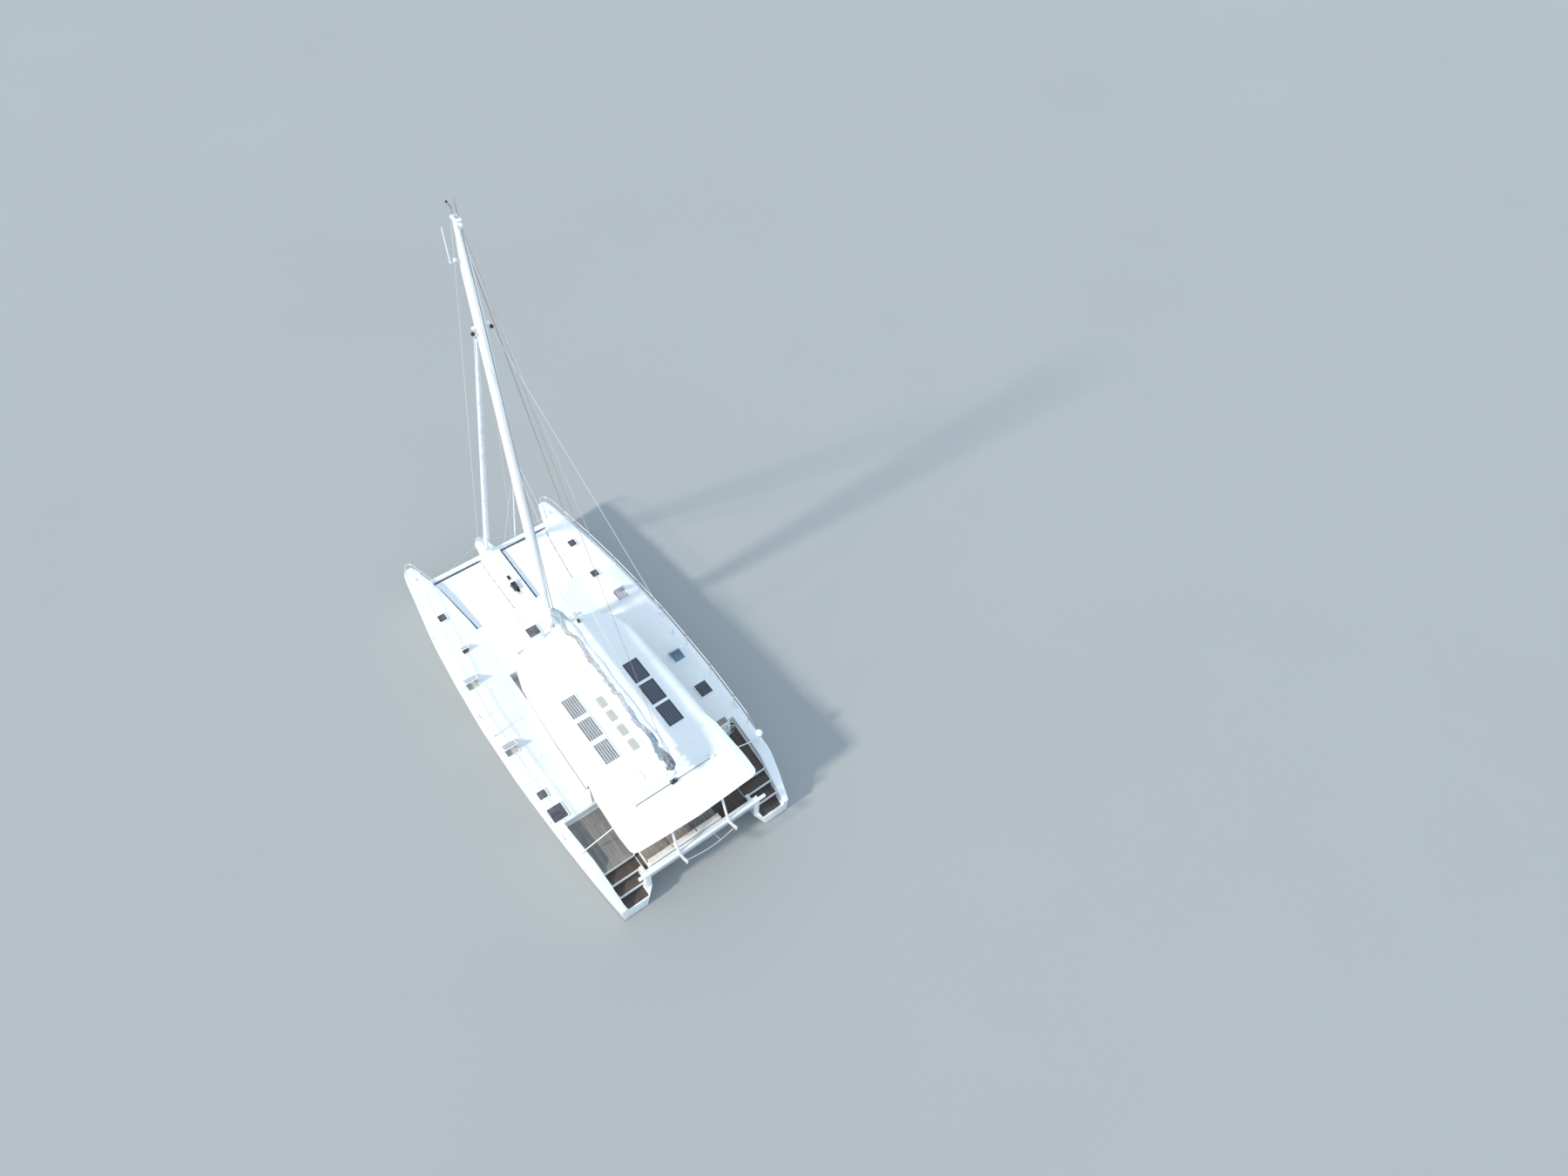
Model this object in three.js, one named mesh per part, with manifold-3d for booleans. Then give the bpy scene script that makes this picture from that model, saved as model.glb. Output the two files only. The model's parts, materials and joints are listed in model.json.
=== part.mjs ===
// Sailing catamaran, afloat: millimetres, +X to the bow, +Y to port, +Z up.
// The origin is on the waterline, amidships on the centreline.
import * as THREE from "three";
import { mergeVertices } from "three/addons/utils/BufferGeometryUtils.js";
import Module from "manifold-3d";

const wasm = await Module();
wasm.setup();

// Driving dimensions
const GAP = 0.3; // what touching pieces keep between them
const NACELLE_TOP = 1930;
const PROP_Z = -1010;
const TRACK_X = -6680; // sheet track on the hardtop
const DECK = 1960; // side deck above the waterline
const HULL_Y = 3270; // centreline of each hull's underwater body
const WET_DECK = 800; // underside of the bridgedeck
const TUNNEL_Y = 2300; // half the space between the hulls' inner faces
const SOLE = 1350; // saloon and cockpit floor
const WING = 1600; // teak quarter deck beside the cockpit
const BRIDGE_BOW = 4400;
const BRIDGE_STERN = -8500;
const SALOON_AFT = -4950;
const WALL = 60;
const ROOF = 3470;
const EAVE = 3120; // underside of the roof's overhang above the saloon walls
const OVERHANG = 90;
const ROOF_ROLL = [[EAVE + 10, 0], [3300, 0], [ROOF - 60, 90], [ROOF, 330]]; // height, inset
const HARDTOP_AFT = -8270;
const HARDTOP_THICK = 90;
const BEAM_X = 7780; // forward crossbeam
const BEAM_R = 120;
const NET_Z = 1750;
const NACELLE_Y = 450;
const MAST_X = 2150;
const MAST_A = 205; // half of the mast's fore-and-aft chord
const MAST_B = 135; // half of its width
const MAST_TOP = 21850;
const HOUNDS = 18250;
const HOUND_Y = 240;
const INNER_HEAD = [2420, -50, 12000]; // where the staysail's stay meets the mast
const BOOM_Z = 4250;
const PIVOT_X = 1880;
const LUG_Z = 95; // gooseneck lugs above and below the boom's centre
const BOOM_END = -6750;
const AFT_BEAM_X = -8500;
const RAIL_H = 620;

// Measured sections of the port hull.
// x, deck inner y, deck outer y, deck z, waterline inner y, waterline outer y, depth
const SECTIONS = [
  [8750, 3110, 3330, 2060, 3200, 3235, 60],
  [8690, 3030, 3410, 2059, 3180, 3245, 90],
  [8540, 2960, 3480, 2055, 3140, 3270, 150],
  [8200, 2885, 3550, 2045, 3090, 3310, 250],
  [7100, 2620, 3700, 2015, 2900, 3490, 420],
  [5500, 2420, 3940, 1980, 2720, 3740, 560],
  [BRIDGE_BOW, TUNNEL_Y, 4070, DECK, 2620, 3880, 620],
  [2500, TUNNEL_Y, 4220, DECK, 2540, 4000, 680],
  [0, TUNNEL_Y, 4340, DECK, 2500, 4080, 700],
  [-2500, TUNNEL_Y, 4340, DECK, 2520, 4060, 680],
  [-5000, TUNNEL_Y, 4240, DECK, 2560, 3980, 600],
  [-7200, TUNNEL_Y, 4090, DECK, 2640, 3850, 420],
  [BRIDGE_STERN, TUNNEL_Y, 3880, DECK, 2690, 3730, 230],
  [-8750, 2560, 3800, DECK, 2720, 3690, 180],
];
const STEM_RAKE = 0.12;

// Sections joined by a smooth curve that never swings past them
function slope(rows, i, column) {
  if (i === 0 || i === rows.length - 1) return 0;
  const before = (rows[i][column] - rows[i - 1][column]) / (rows[i][0] - rows[i - 1][0]);
  const after = (rows[i + 1][column] - rows[i][column]) / (rows[i + 1][0] - rows[i][0]);
  return before * after <= 0 ? 0 : (2 * before * after) / (before + after);
}

function smoothed(rows, step) {
  const out = [];
  rows.slice(0, -1).forEach((row, i) => {
    const next = rows[i + 1];
    const reach = next[0] - row[0];
    const parts = Math.max(1, Math.round(Math.abs(reach) / step));
    for (let k = 0; k < parts; k++) {
      const t = k / parts;
      const [h1, h2] = [(1 + 2 * t) * (1 - t) ** 2, t * (1 - t) ** 2];
      const [h3, h4] = [t * t * (3 - 2 * t), t * t * (t - 1)];
      out.push(row.map((value, column) => (column === 0 ? value + reach * t :
        h1 * value + h2 * reach * slope(rows, i, column) +
        h3 * next[column] + h4 * reach * slope(rows, i + 1, column))));
    }
  });
  return [...out, rows[rows.length - 1]];
}
const STATIONS = smoothed(SECTIONS, 700);

// Materials: colour, roughness, metalness
const material = (color, roughness, metalness = 0) =>
  new THREE.MeshStandardMaterial({ color, roughness, metalness });
const GELCOAT = material(0xf4f4f1, 0.3);
const TEAK = material(0x5b4334, 0.75);
const NET = material(0xe9e9e6, 0.85);
const CLOTH = material(0xeeeeec, 0.9);
const SPAR = material(0xf2f2ef, 0.35);
const STEEL = material(0xb9bcc0, 0.3, 0.9);
const DARK = material(0x2c2f3a, 0.25);
const GLASS = material(0x1d232b, 0.1);
const CUSHION = material(0x7d7a76, 0.95);
const ANTIFOUL = material(0x26384a, 0.7);

const boat = new THREE.Group();

// Solids from geometry and back
function asSolid(geometry) {
  const bare = geometry.index ? geometry.toNonIndexed() : geometry.clone();
  bare.deleteAttribute("normal");
  bare.deleteAttribute("uv");
  const merged = mergeVertices(bare, 1e-3);
  const vertProperties = merged.attributes.position.array;
  const triVerts = new Uint32Array(merged.index.array);
  const made = new wasm.Manifold(new wasm.Mesh({ numProp: 3, vertProperties, triVerts }));
  if (made.volume() >= 0) return made;
  for (let i = 0; i < triVerts.length; i += 3) {
    [triVerts[i + 1], triVerts[i + 2]] = [triVerts[i + 2], triVerts[i + 1]];
  }
  return new wasm.Manifold(new wasm.Mesh({ numProp: 3, vertProperties, triVerts }));
}

function asGeometry(solid) {
  const mesh = solid.getMesh();
  const positions = new Float32Array(mesh.numVert * 3);
  for (let i = 0; i < mesh.numVert; i++) {
    positions.set(mesh.vertProperties.subarray(i * mesh.numProp, i * mesh.numProp + 3), i * 3);
  }
  const geometry = new THREE.BufferGeometry();
  geometry.setAttribute("position", new THREE.BufferAttribute(positions, 3));
  geometry.setIndex(new THREE.BufferAttribute(mesh.triVerts, 1));
  geometry.computeVertexNormals();
  return geometry;
}

function place(name, solid, look, parent = boat) {
  const mesh = new THREE.Mesh(asGeometry(solid), look);
  mesh.name = name;
  parent.add(mesh);
  return mesh;
}

const unite = (...solids) => solids.reduce((whole, next) => whole.add(next));
const cut = (solid, ...tools) => tools.reduce((left, tool) => left.subtract(tool), solid);

function block([x0, x1], [y0, y1], [z0, z1]) {
  const geometry = new THREE.BoxGeometry(x1 - x0, y1 - y0, z1 - z0);
  return asSolid(geometry.translate((x0 + x1) / 2, (y0 + y1) / 2, (z0 + z1) / 2));
}

const outline = (points) => new THREE.Shape(points.map(([a, b]) => new THREE.Vector2(a, b)));

// Extruded outlines: plan view up Z, side view along Y
function plan(points, [z0, z1]) {
  const depth = z1 - z0;
  const geometry = new THREE.ExtrudeGeometry(outline(points), { depth, bevelEnabled: false });
  return asSolid(geometry.translate(0, 0, z0));
}

function sideView(points, [y0, y1]) {
  const depth = y1 - y0;
  const geometry = new THREE.ExtrudeGeometry(outline(points), { depth, bevelEnabled: false });
  return asSolid(geometry.rotateX(Math.PI / 2).translate(0, y1, 0));
}

// A rod or tube from one point to another, and a ball
function rod(from, to, radius, sides = 8, endRadius = radius) {
  const a = new THREE.Vector3(...from);
  const b = new THREE.Vector3(...to);
  const along = b.clone().sub(a);
  const geometry = new THREE.CylinderGeometry(endRadius, radius, along.length(), sides);
  const turn = new THREE.Quaternion();
  turn.setFromUnitVectors(new THREE.Vector3(0, 1, 0), along.clone().normalize());
  geometry.applyQuaternion(turn);
  const middle = a.add(b).multiplyScalar(0.5);
  return asSolid(geometry.translate(middle.x, middle.y, middle.z));
}

function ball([x, y, z], radius, sides = 10) {
  return asSolid(new THREE.SphereGeometry(radius, sides, 6).translate(x, y, z));
}

function chain(points, radius, sides = 8) {
  const rods = points.slice(1).map((p, i) => rod(points[i], p, radius, sides));
  const knees = points.slice(1, -1).map((p) => ball(p, radius * 1.05, 8));
  return unite(...rods, ...knees);
}

// A turned profile of [radius, distance] pairs, set along the line from one point to another
function turned(profile, from, to, sides = 12) {
  const points = profile.map(([r, d]) => new THREE.Vector2(r, d));
  const geometry = new THREE.LatheGeometry(points, sides);
  const along = new THREE.Vector3(...to).sub(new THREE.Vector3(...from)).normalize();
  const turn = new THREE.Quaternion();
  turn.setFromUnitVectors(new THREE.Vector3(0, 1, 0), along);
  geometry.applyQuaternion(turn);
  return asSolid(geometry.translate(...from));
}

// A closed skin through rings of equally many points; flat() drops one axis to fill the ends
function loft(rings, flat) {
  const count = rings[0].length;
  const positions = rings.flat(2);
  const index = [];
  for (let r = 0; r + 1 < rings.length; r++) {
    for (let i = 0; i < count; i++) {
      const a = r * count + i;
      const b = r * count + ((i + 1) % count);
      index.push(a, b, a + count, b, b + count, a + count);
    }
  }
  const ends = [
    [0, rings[0], true],
    [(rings.length - 1) * count, rings[rings.length - 1], false],
  ];
  for (const [start, ring, first] of ends) {
    const contour = ring.map((p) => new THREE.Vector2(...flat(p)));
    const clockwise = THREE.ShapeUtils.isClockWise(contour);
    for (const [a, b, c] of THREE.ShapeUtils.triangulateShape(contour, [])) {
      const turn = clockwise === capTurn(a, b, c, contour);
      const face = turn ? [a, b, c] : [a, c, b];
      if (first) face.reverse();
      index.push(...face.map((i) => i + start));
    }
  }
  const geometry = new THREE.BufferGeometry();
  geometry.setAttribute("position", new THREE.Float32BufferAttribute(positions, 3));
  geometry.setIndex(index);
  return asSolid(geometry);
}

function capTurn(a, b, c, contour) {
  return THREE.ShapeUtils.area([contour[a], contour[b], contour[c]]) < 0;
}

const dropX = ([, y, z]) => [y, z];
const dropZ = ([x, y]) => [x, y];
const SIDES = [
  [1, "port"],
  [-1, "starboard"],
];

// Straight-line value of a station column at x
function stationAt(x, column) {
  const next = STATIONS.findIndex((row) => row[0] <= x);
  const i = Math.max(1, next);
  const [ahead, behind] = [STATIONS[i - 1], STATIONS[i]];
  const share = (ahead[0] - x) / (ahead[0] - behind[0]);
  return ahead[column] + (behind[column] - ahead[column]) * share;
}
const innerEdge = (x) => stationAt(x, 1);
const outerEdge = (x) => stationAt(x, 2);
const deckAt = (x) => stationAt(x, 3);

// Hulls
function hullRing([x, inner, outer, deck, wlIn, wlOut, depth]) {
  const half = (wlOut - wlIn) / 2;
  const middle = (wlOut + wlIn) / 2;
  const bottom = [30, 60, 90, 120, 150].map((degrees) => {
    const angle = (degrees * Math.PI) / 180;
    return [middle + half * Math.cos(angle), -depth * Math.sin(angle)];
  });
  const section = [
    [inner, deck],
    [outer - 60, deck],
    [outer, deck - 50],
    [outer - 0.1 * (outer - wlOut), deck * 0.75],
    [outer - 0.6 * (outer - wlOut), deck * 0.3],
    [wlOut, 0],
    ...bottom,
    [wlIn, 0],
    [inner, WET_DECK],
  ];
  const rake = STEM_RAKE * Math.max(0, (x - 8200) / 550);
  return section.map(([y, z]) => [x - rake * (deck - z), y, z]);
}

// Stern steps: fore x, aft x, tread z, inner y
const STEPS = [
  [-5050, -7440, WING, TUNNEL_Y - 50],
  [-7430, -7880, 1330, TUNNEL_Y - 50],
  [-7870, -8290, 1000, 2450],
  [-8280, -8850, 650, 2530],
];
const stepOuter = (x) => 3790 + (x + 5050) * 0.072;

function sternCuts() {
  const treads = STEPS.map(([fore, aft, z, inner]) =>
    plan([[fore, inner], [fore, stepOuter(fore)], [aft, stepOuter(aft)], [aft, inner]], [z, 2400]));
  const fall = sideView([[-7000, DECK], [-8760, 840], [-8900, 840], [-8900, 2400], [-7000, 2400]],
    [2530, 4500]);
  const heel = sideView([[-8505, 840], [-8900, 840], [-8900, 2400], [-8505, 2400]], [2200, 2540]);
  const curb = block([-8300, -7860], [2200, 2460], [SOLE + 130, 2400]);
  return [...treads, fall, heel, curb];
}

// Stub keel rings: z, fore x, aft x, half thickness
const KEEL = [
  [-450, 2000, -1700, 190],
  [-1000, 1750, -1500, 140],
  [-1320, 1500, -1350, 90],
];

function keelSolid() {
  const rings = KEEL.map(([z, fore, aft, half]) => {
    const chord = fore - aft;
    const shape = [[fore, 0], [fore - 0.12 * chord, half], [fore - 0.5 * chord, half], [aft, 10],
      [aft, -10], [fore - 0.5 * chord, -half], [fore - 0.12 * chord, -half]];
    return shape.map(([x, y]) => [x, HULL_Y + y, z]);
  });
  return loft(rings, dropZ);
}

// Flat pads under each hull that carry rudder and drive leg: x, radius, underside z
const PADS = [
  [-7550, 95, -450],
  [-5600, 150, -620],
];

// Deck hatches: name, x, y, lid length, lid width, open angle at rest, deck it lies on
const HATCHES = [
  ["port_1", 5680, 3190, 420, 380, 0, "hull"],
  ["port_2", 3750, 3150, 380, 360, 38, "hull"],
  ["port_3", 2200, 3680, 600, 560, 38, "hull"],
  ["port_4", -1250, 3870, 600, 560, 38, "hull"],
  ["port_5", -3610, 3860, 420, 400, 0, "hull"],
  ["port_6", -4570, 3775, 700, 640, 0, "hull"],
  ["starboard_1", 5990, -3140, 420, 380, 0, "hull"],
  ["starboard_2", 4040, -3080, 420, 380, 0, "hull"],
  ["starboard_3", 2480, -3420, 600, 560, 60, "hull"],
  ["starboard_4", -1440, -3600, 600, 560, 60, "hull"],
  ["starboard_5", -3360, -3560, 680, 600, 0, "hull"],
  ["foredeck_1", 2960, 510, 560, 560, 0, "bridge"],
  ["foredeck_2", 2160, 1350, 520, 520, 38, "bridge"],
];
const RIM_H = 22;
const LID_H = 26;

const RIM_WALL = 45;

// A raised rim round a shallow well, worked in place with the deck below it
function rimAt(x, y, length, width, top) {
  return block([x - length / 2, x + length / 2], [y - width / 2, y + width / 2], [top - 60, top]);
}
function wellAt(x, y, length, width, top) {
  const [halfX, halfY] = [length / 2 - RIM_WALL, width / 2 - RIM_WALL];
  return block([x - halfX, x + halfX], [y - halfY, y + halfY], [top - 180, top + 10]);
}
const rimTop = (x, length) => deckAt(x + length / 2) + RIM_H;

function buildHull(side, name) {
  let port = loft(STATIONS.map(hullRing), dropX);
  const bosses = PADS.map(([x, r, z]) => rod([x, HULL_Y, z], [x, HULL_Y, -150], r, 16));
  port = unite(port, keelSolid(), ...bosses);
  port = cut(port, ...sternCuts(), rod([BEAM_X, 2600, NET_Z], [BEAM_X, beamReach() + 0.5, NET_Z],
    BEAM_R + 0.4, 16));
  let hull = side > 0 ? port : mirrored(port);
  for (const [, x, y, length, width, , deck] of HATCHES) {
    if (deck !== "hull" || y * side < 0) continue;
    const top = rimTop(x, length);
    hull = cut(unite(hull, rimAt(x, y, length, width, top)), wellAt(x, y, length, width, top));
  }
  place("hull_" + name, hull, GELCOAT);
}

function mirrored(solid) {
  const geometry = asGeometry(solid);
  geometry.applyMatrix4(new THREE.Matrix4().makeScale(1, -1, 1));
  return asSolid(geometry);
}

const beamReach = () => innerEdge(BEAM_X) + 80;

// Bridgedeck: foredeck, saloon well, cockpit well and aft coaming in one moulding
const COAMING = DECK;
function buildBridgedeck() {
  const y = TUNNEL_Y - GAP;
  const profile = [[BRIDGE_BOW, 1300], [BRIDGE_BOW, DECK], [1700, DECK], [1700, SOLE],
    [-8300, SOLE], [-8300, COAMING], [BRIDGE_STERN, COAMING], [BRIDGE_STERN, 1880],
    [-8390, 1300], [-8150, 1130], [-7500, WET_DECK], [3000, WET_DECK], [4000, 980]];
  let deck = sideView(profile, [-y, y]);
  for (const [, x, yHatch, length, width, , on] of HATCHES) {
    if (on !== "bridge") continue;
    const top = DECK + RIM_H;
    deck = cut(unite(deck, rimAt(x, yHatch, length, width, top)),
      wellAt(x, yHatch, length, width, top));
  }
  place("bridgedeck", deck, GELCOAT);
  const sole = block([-8290, SALOON_AFT - 10], [-y + 10, y - 10], [SOLE + GAP, SOLE + 15]);
  place("cockpit_sole", sole, TEAK);
}

// Each lid turns on its forward edge; open ones are drawn at their angle
function buildHatches() {
  for (const [name, x, y, length, width, angle, deck] of HATCHES) {
    const top = deck === "hull" ? rimTop(x, length) : DECK + RIM_H;
    const hinge = new THREE.Group();
    hinge.position.set(x + length / 2, y, top + LID_H / 2 + GAP);
    hinge.rotation.y = (angle * Math.PI) / 180;
    boat.add(hinge);
    const lid = block([-length, 0], [-width / 2, width / 2], [-LID_H / 2, LID_H / 2]);
    const knuckle = rod([0, -width / 4, 0], [0, width / 4, 0], LID_H / 2, 12);
    place("hatch_" + name, unite(lid, knuckle), DARK, hinge);
  }
}

// Saloon plan, port half from aft to the centre: foot x, foot y, roof edge x, roof edge y
const SALOON = [
  [-5400, 2560, -5400, 2620],
  [-2500, 2500, -2500, 2570],
  [0, 2380, 0, 2450],
  [850, 2130, 900, 2210],
  [1400, 1650, 1450, 1720],
  [1680, 850, 1720, 900],
  [1750, 0, 1780, 0],
];

function saloonPlan(column, inset) {
  const half = SALOON.map((row) => [row[column], row[column + 1]]);
  const other = half.slice(0, -1).reverse().map(([x, y]) => [x, -y]);
  return insetOutline([...half, ...other], inset);
}

// Moves each corner of a convex outline inwards so that its sides shift by the given distance
function insetOutline(points, distance) {
  const area = THREE.ShapeUtils.area(points.map(([x, y]) => new THREE.Vector2(x, y)));
  const turn = Math.sign(area);
  return points.map(([x, y], i) => {
    const before = points[(i + points.length - 1) % points.length];
    const after = points[(i + 1) % points.length];
    const [n1, n2] = [sideNormal(before, [x, y], turn), sideNormal([x, y], after, turn)];
    const scale = distance / (1 + n1[0] * n2[0] + n1[1] * n2[1]);
    return [x + (n1[0] + n2[0]) * scale, y + (n1[1] + n2[1]) * scale];
  });
}

function sideNormal(a, b, turn) {
  const length = Math.hypot(b[0] - a[0], b[1] - a[1]);
  return [(-turn * (b[1] - a[1])) / length, (turn * (b[0] - a[0])) / length];
}

const level = (points, z) => points.map(([x, y]) => [x, y, z]);

// Saloon window holes: side panes by fore and aft x, front panes by y range
const SIDE_PANES = [[-4450, -3150], [-3050, -1700], [-1600, -500]];
const FRONT_PANES = [[-1250, -470], [-390, 390], [470, 1250]];
const PANE_Z = [2420, 3020];

const aheadOf = (x) => block([x, 4000], [-5000, 5000], [1000, 4000]);

// Side and front walls rise from the deck to the eave, under a roof with rolled edges
function saloonWalls(offset, foot, head) {
  return [level(saloonPlan(0, offset), foot), level(saloonPlan(2, OVERHANG + offset), head)];
}

function buildSaloon() {
  const foot = DECK + GAP;
  const rolled = ROOF_ROLL.map(([z, inset]) => level(saloonPlan(2, inset), z));
  const outer = loft([...saloonWalls(0, foot, EAVE), ...rolled], dropZ)
    .intersect(aheadOf(SALOON_AFT));
  const inner = loft([...saloonWalls(WALL, foot - 5, ROOF - 2 * WALL),
    level(saloonPlan(2, 360), ROOF - WALL)], dropZ).intersect(aheadOf(SALOON_AFT + WALL));
  const y = TUNNEL_Y - 10;
  const bulkhead = block([SALOON_AFT, SALOON_AFT + WALL], [-y, y], [SOLE + GAP, 2600]);
  const sides = SIDE_PANES.map(([x0, x1]) => block([x0, x1], [-3500, 3500], PANE_Z));
  const fronts = FRONT_PANES.map(([y0, y1]) => block([300, 2200], [y0, y1], PANE_Z));
  const doorway = block([SALOON_AFT - 50, SALOON_AFT + 300], DOOR_Y, [SOLE + 40, DOOR_TOP]);
  const rail = block([SALOON_AFT - 60, SALOON_AFT], [-650, 1650], [DOOR_TOP + 60, DOOR_TOP + 110]);
  const shell = cut(unite(cut(outer, inner), bulkhead), ...sides, ...fronts, doorway);
  place("saloon_shell", unite(shell, rail), GELCOAT);
  const band = block([-4600, 3000], [-4000, 4000], [PANE_Z[0] - 50, PANE_Z[1] + 50]);
  const skin = (offset) => loft(saloonWalls(-offset, foot, EAVE), dropZ);
  place("saloon_glass", cut(skin(9), skin(1)).intersect(band), GLASS);
}

// Sliding door on the cockpit side of the saloon's aft wall
const DOOR_Y = [-450, 450];
const DOOR_TOP = 3150;
function buildDoor() {
  const x = SALOON_AFT - 8;
  const [y0, y1] = [DOOR_Y[0] - 60, DOOR_Y[1] + 60];
  const [z0, z1] = [SOLE + 15 + GAP, DOOR_TOP + 60 - GAP];
  const frame = block([x - 40, x], [y0, y1], [z0, z1]);
  const pane = block([x - 60, x + 20], [y0 + 110, y1 - 110], [z0 + 160, z1 - 110]);
  place("saloon_door", cut(frame, pane), SPAR);
  const glass = block([x - 24, x - 16], [y0 + 110 + GAP, y1 - 110 - GAP],
    [z0 + 160 + GAP, z1 - 110 - GAP]);
  place("saloon_door_glass", glass, GLASS);
}

// Furniture seen through the glass
function buildFurniture() {
  const z = SOLE + GAP;
  const seat = unite(block([-1400, 1200], [1500, 2150], [z, 1800]),
    block([600, 1200], [300, 1510], [z, 1800]), block([-1400, 500], [2010, 2150], [1790, 2250]));
  place("saloon_settee", seat, CUSHION);
  const galley = unite(block([-4300, -1200], [-2150, -1550], [z, 2270]),
    block([-1810, -1200], [-1560, -700], [z, 2270]));
  place("saloon_galley", galley, GELCOAT);
  const base = block([-8280, -7400], [-950, 2150], [SOLE + 15 + GAP, 1760]);
  const back = block([-8280, -8130], [-950, 2150], [1750, 2050]);
  place("cockpit_settee", unite(base, back), CUSHION);
  const top = block([-7150, -6250], [0, 1500], [2040, 2080]);
  const leg = rod([-6700, 750, SOLE + 15 + GAP], [-6700, 750, 2050], 70, 12);
  const plate = rod([-6700, 750, SOLE + 15 + GAP], [-6700, 750, 1390], 220, 12);
  place("cockpit_table", unite(top, leg, plate), GELCOAT);
}

// Hardtop over the cockpit, port half of its outline from fore to aft
const HARDTOP = [[-4500, 2530], [SALOON_AFT, 2530], [-5600, 2660], [-7300, 2720], [-7960, 2690],
  [-8110, 2600], [-8170, 2400], [-8220, 1400], [HARDTOP_AFT, 0]];
const STRUT_Y = 1080;
function buildHardtop() {
  const other = HARDTOP.slice(0, -1).reverse().map(([x, y]) => [x, -y]);
  const edge = [[ROOF - HARDTOP_THICK, 40], [ROOF - 60, 0], [ROOF, 240]];
  const rings = edge.map(([z, inset]) => level(insetOutline([...HARDTOP, ...other], inset), z));
  const parts = [cut(loft(rings, dropZ), aheadOf(SALOON_AFT - 0.5))];
  for (const [side] of SIDES) {
    const top = ROOF - HARDTOP_THICK + 10;
    const foot = AFT_BEAM_TOP + GAP + 55;
    parts.push(rod([-8090, side * STRUT_Y, top], [AFT_BEAM_X, side * STRUT_Y, foot], 50, 10));
    parts.push(rod([AFT_BEAM_X, side * STRUT_Y, AFT_BEAM_TOP + GAP],
      [AFT_BEAM_X, side * STRUT_Y, foot + 30], 62, 10));
    parts.push(rod([-6850, side * 2600, top], [-6420, side * 3900, DECK + GAP + 24], 22, 8));
    parts.push(rod([-6420, side * 3900, DECK + GAP], [-6420, side * 3900, DECK + 45], 34, 8));
  }
  place("hardtop", unite(...parts), GELCOAT);
}

// Aft beam on the cockpit's coaming, with two davits and the rope between them
const AFT_BEAM_TOP = COAMING + GAP + 130;
const AFT_BEAM_HALF = 65;
const DAVIT_TIP = [-9060, 2360];
function buildSternGear() {
  const x = AFT_BEAM_X;
  const beam = block([x - AFT_BEAM_HALF, x + AFT_BEAM_HALF], [-2790, 2790],
    [COAMING + GAP, AFT_BEAM_TOP]);
  place("aft_beam", beam, GELCOAT);
  const face = x - AFT_BEAM_HALF - GAP;
  for (const [side, name] of SIDES) {
    const y = side * STRUT_Y;
    const arm = sideView([[face, COAMING + 30], [face, AFT_BEAM_TOP - 20], [-8850, 2230],
      [DAVIT_TIP[0], DAVIT_TIP[1] + 45], [DAVIT_TIP[0], DAVIT_TIP[1] - 60], [-8840, 2080]],
    [y - 40, y + 40]);
    const head = rod([DAVIT_TIP[0] + 40, y, DAVIT_TIP[1] - 50], [DAVIT_TIP[0] + 40, y,
      DAVIT_TIP[1] - 190], 45, 10);
    place("davit_" + name, unite(arm, head), GELCOAT);
  }
  place("davit_brace", braceSolid(face), STEEL);
}

// Bowed tube from one davit to the other, stayed to the aft beam on its starboard half
const BRACE_R = 22;
const BRACE_Z = 2280;
// share of the way from the centre to port, x
const BRACE = [[1.02, -8970], [0.7, -9020], [0.35, -9060], [0, -9075], [-0.35, -9055],
  [-0.7, -9010], [-1.02, -8970]];
function braceSolid(face) {
  const reach = STRUT_Y - 40 - GAP;
  const bow = chain(BRACE.map(([share, x]) => [x, share * reach, BRACE_Z]), BRACE_R)
    .intersect(block([-9300, -8600], [-reach, reach], [2000, 2500]));
  const [, x] = BRACE[4];
  const y = -0.35 * reach;
  const knee = [face - 130, y, COAMING + 85];
  return unite(bow, rod([x, y, BRACE_Z], knee, 18), ball(knee, 19, 8), rod(knee, [face, y, knee[2]], 18));
}

// Forward crossbeam, centre walkway with its bow platform, windlass
function buildBowGear() {
  const reach = beamReach();
  place("crossbeam", rod([BEAM_X, -reach, NET_Z], [BEAM_X, reach, NET_Z], BEAM_R, 16), GELCOAT);
  const deckPlan = [[BRIDGE_BOW + GAP, NACELLE_Y], [7560, NACELLE_Y], [8050, 300], [8430, 280],
    [8600, 170], [8600, -170], [8430, -280], [8050, -300], [7560, -NACELLE_Y],
    [BRIDGE_BOW + GAP, -NACELLE_Y]];
  const profile = [[4000, NACELLE_TOP], [8450, NACELLE_TOP], [8600, 1870], [8620, 1800],
    [8300, 1650], [7900, 1590], [4000, 1590]];
  const body = plan(deckPlan, [1500, 2000]).intersect(sideView(profile, [-600, 600]));
  const bore = rod([BEAM_X, -700, NET_Z], [BEAM_X, 700, NET_Z], BEAM_R + 0.4, 16);
  place("bow_walkway", cut(body, bore), GELCOAT);
  const drum = turned([[0, 0], [150, 0], [150, 40], [70, 60], [70, 130], [110, 150], [110, 190],
    [0, 190]], [5600, 0, NACELLE_TOP + GAP], [5600, 0, 3000], 16);
  const motor = block([5200, 5560], [-110, 110], [NACELLE_TOP + GAP, NACELLE_TOP + 150]);
  place("windlass", unite(drum, motor), STEEL);
}

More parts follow.
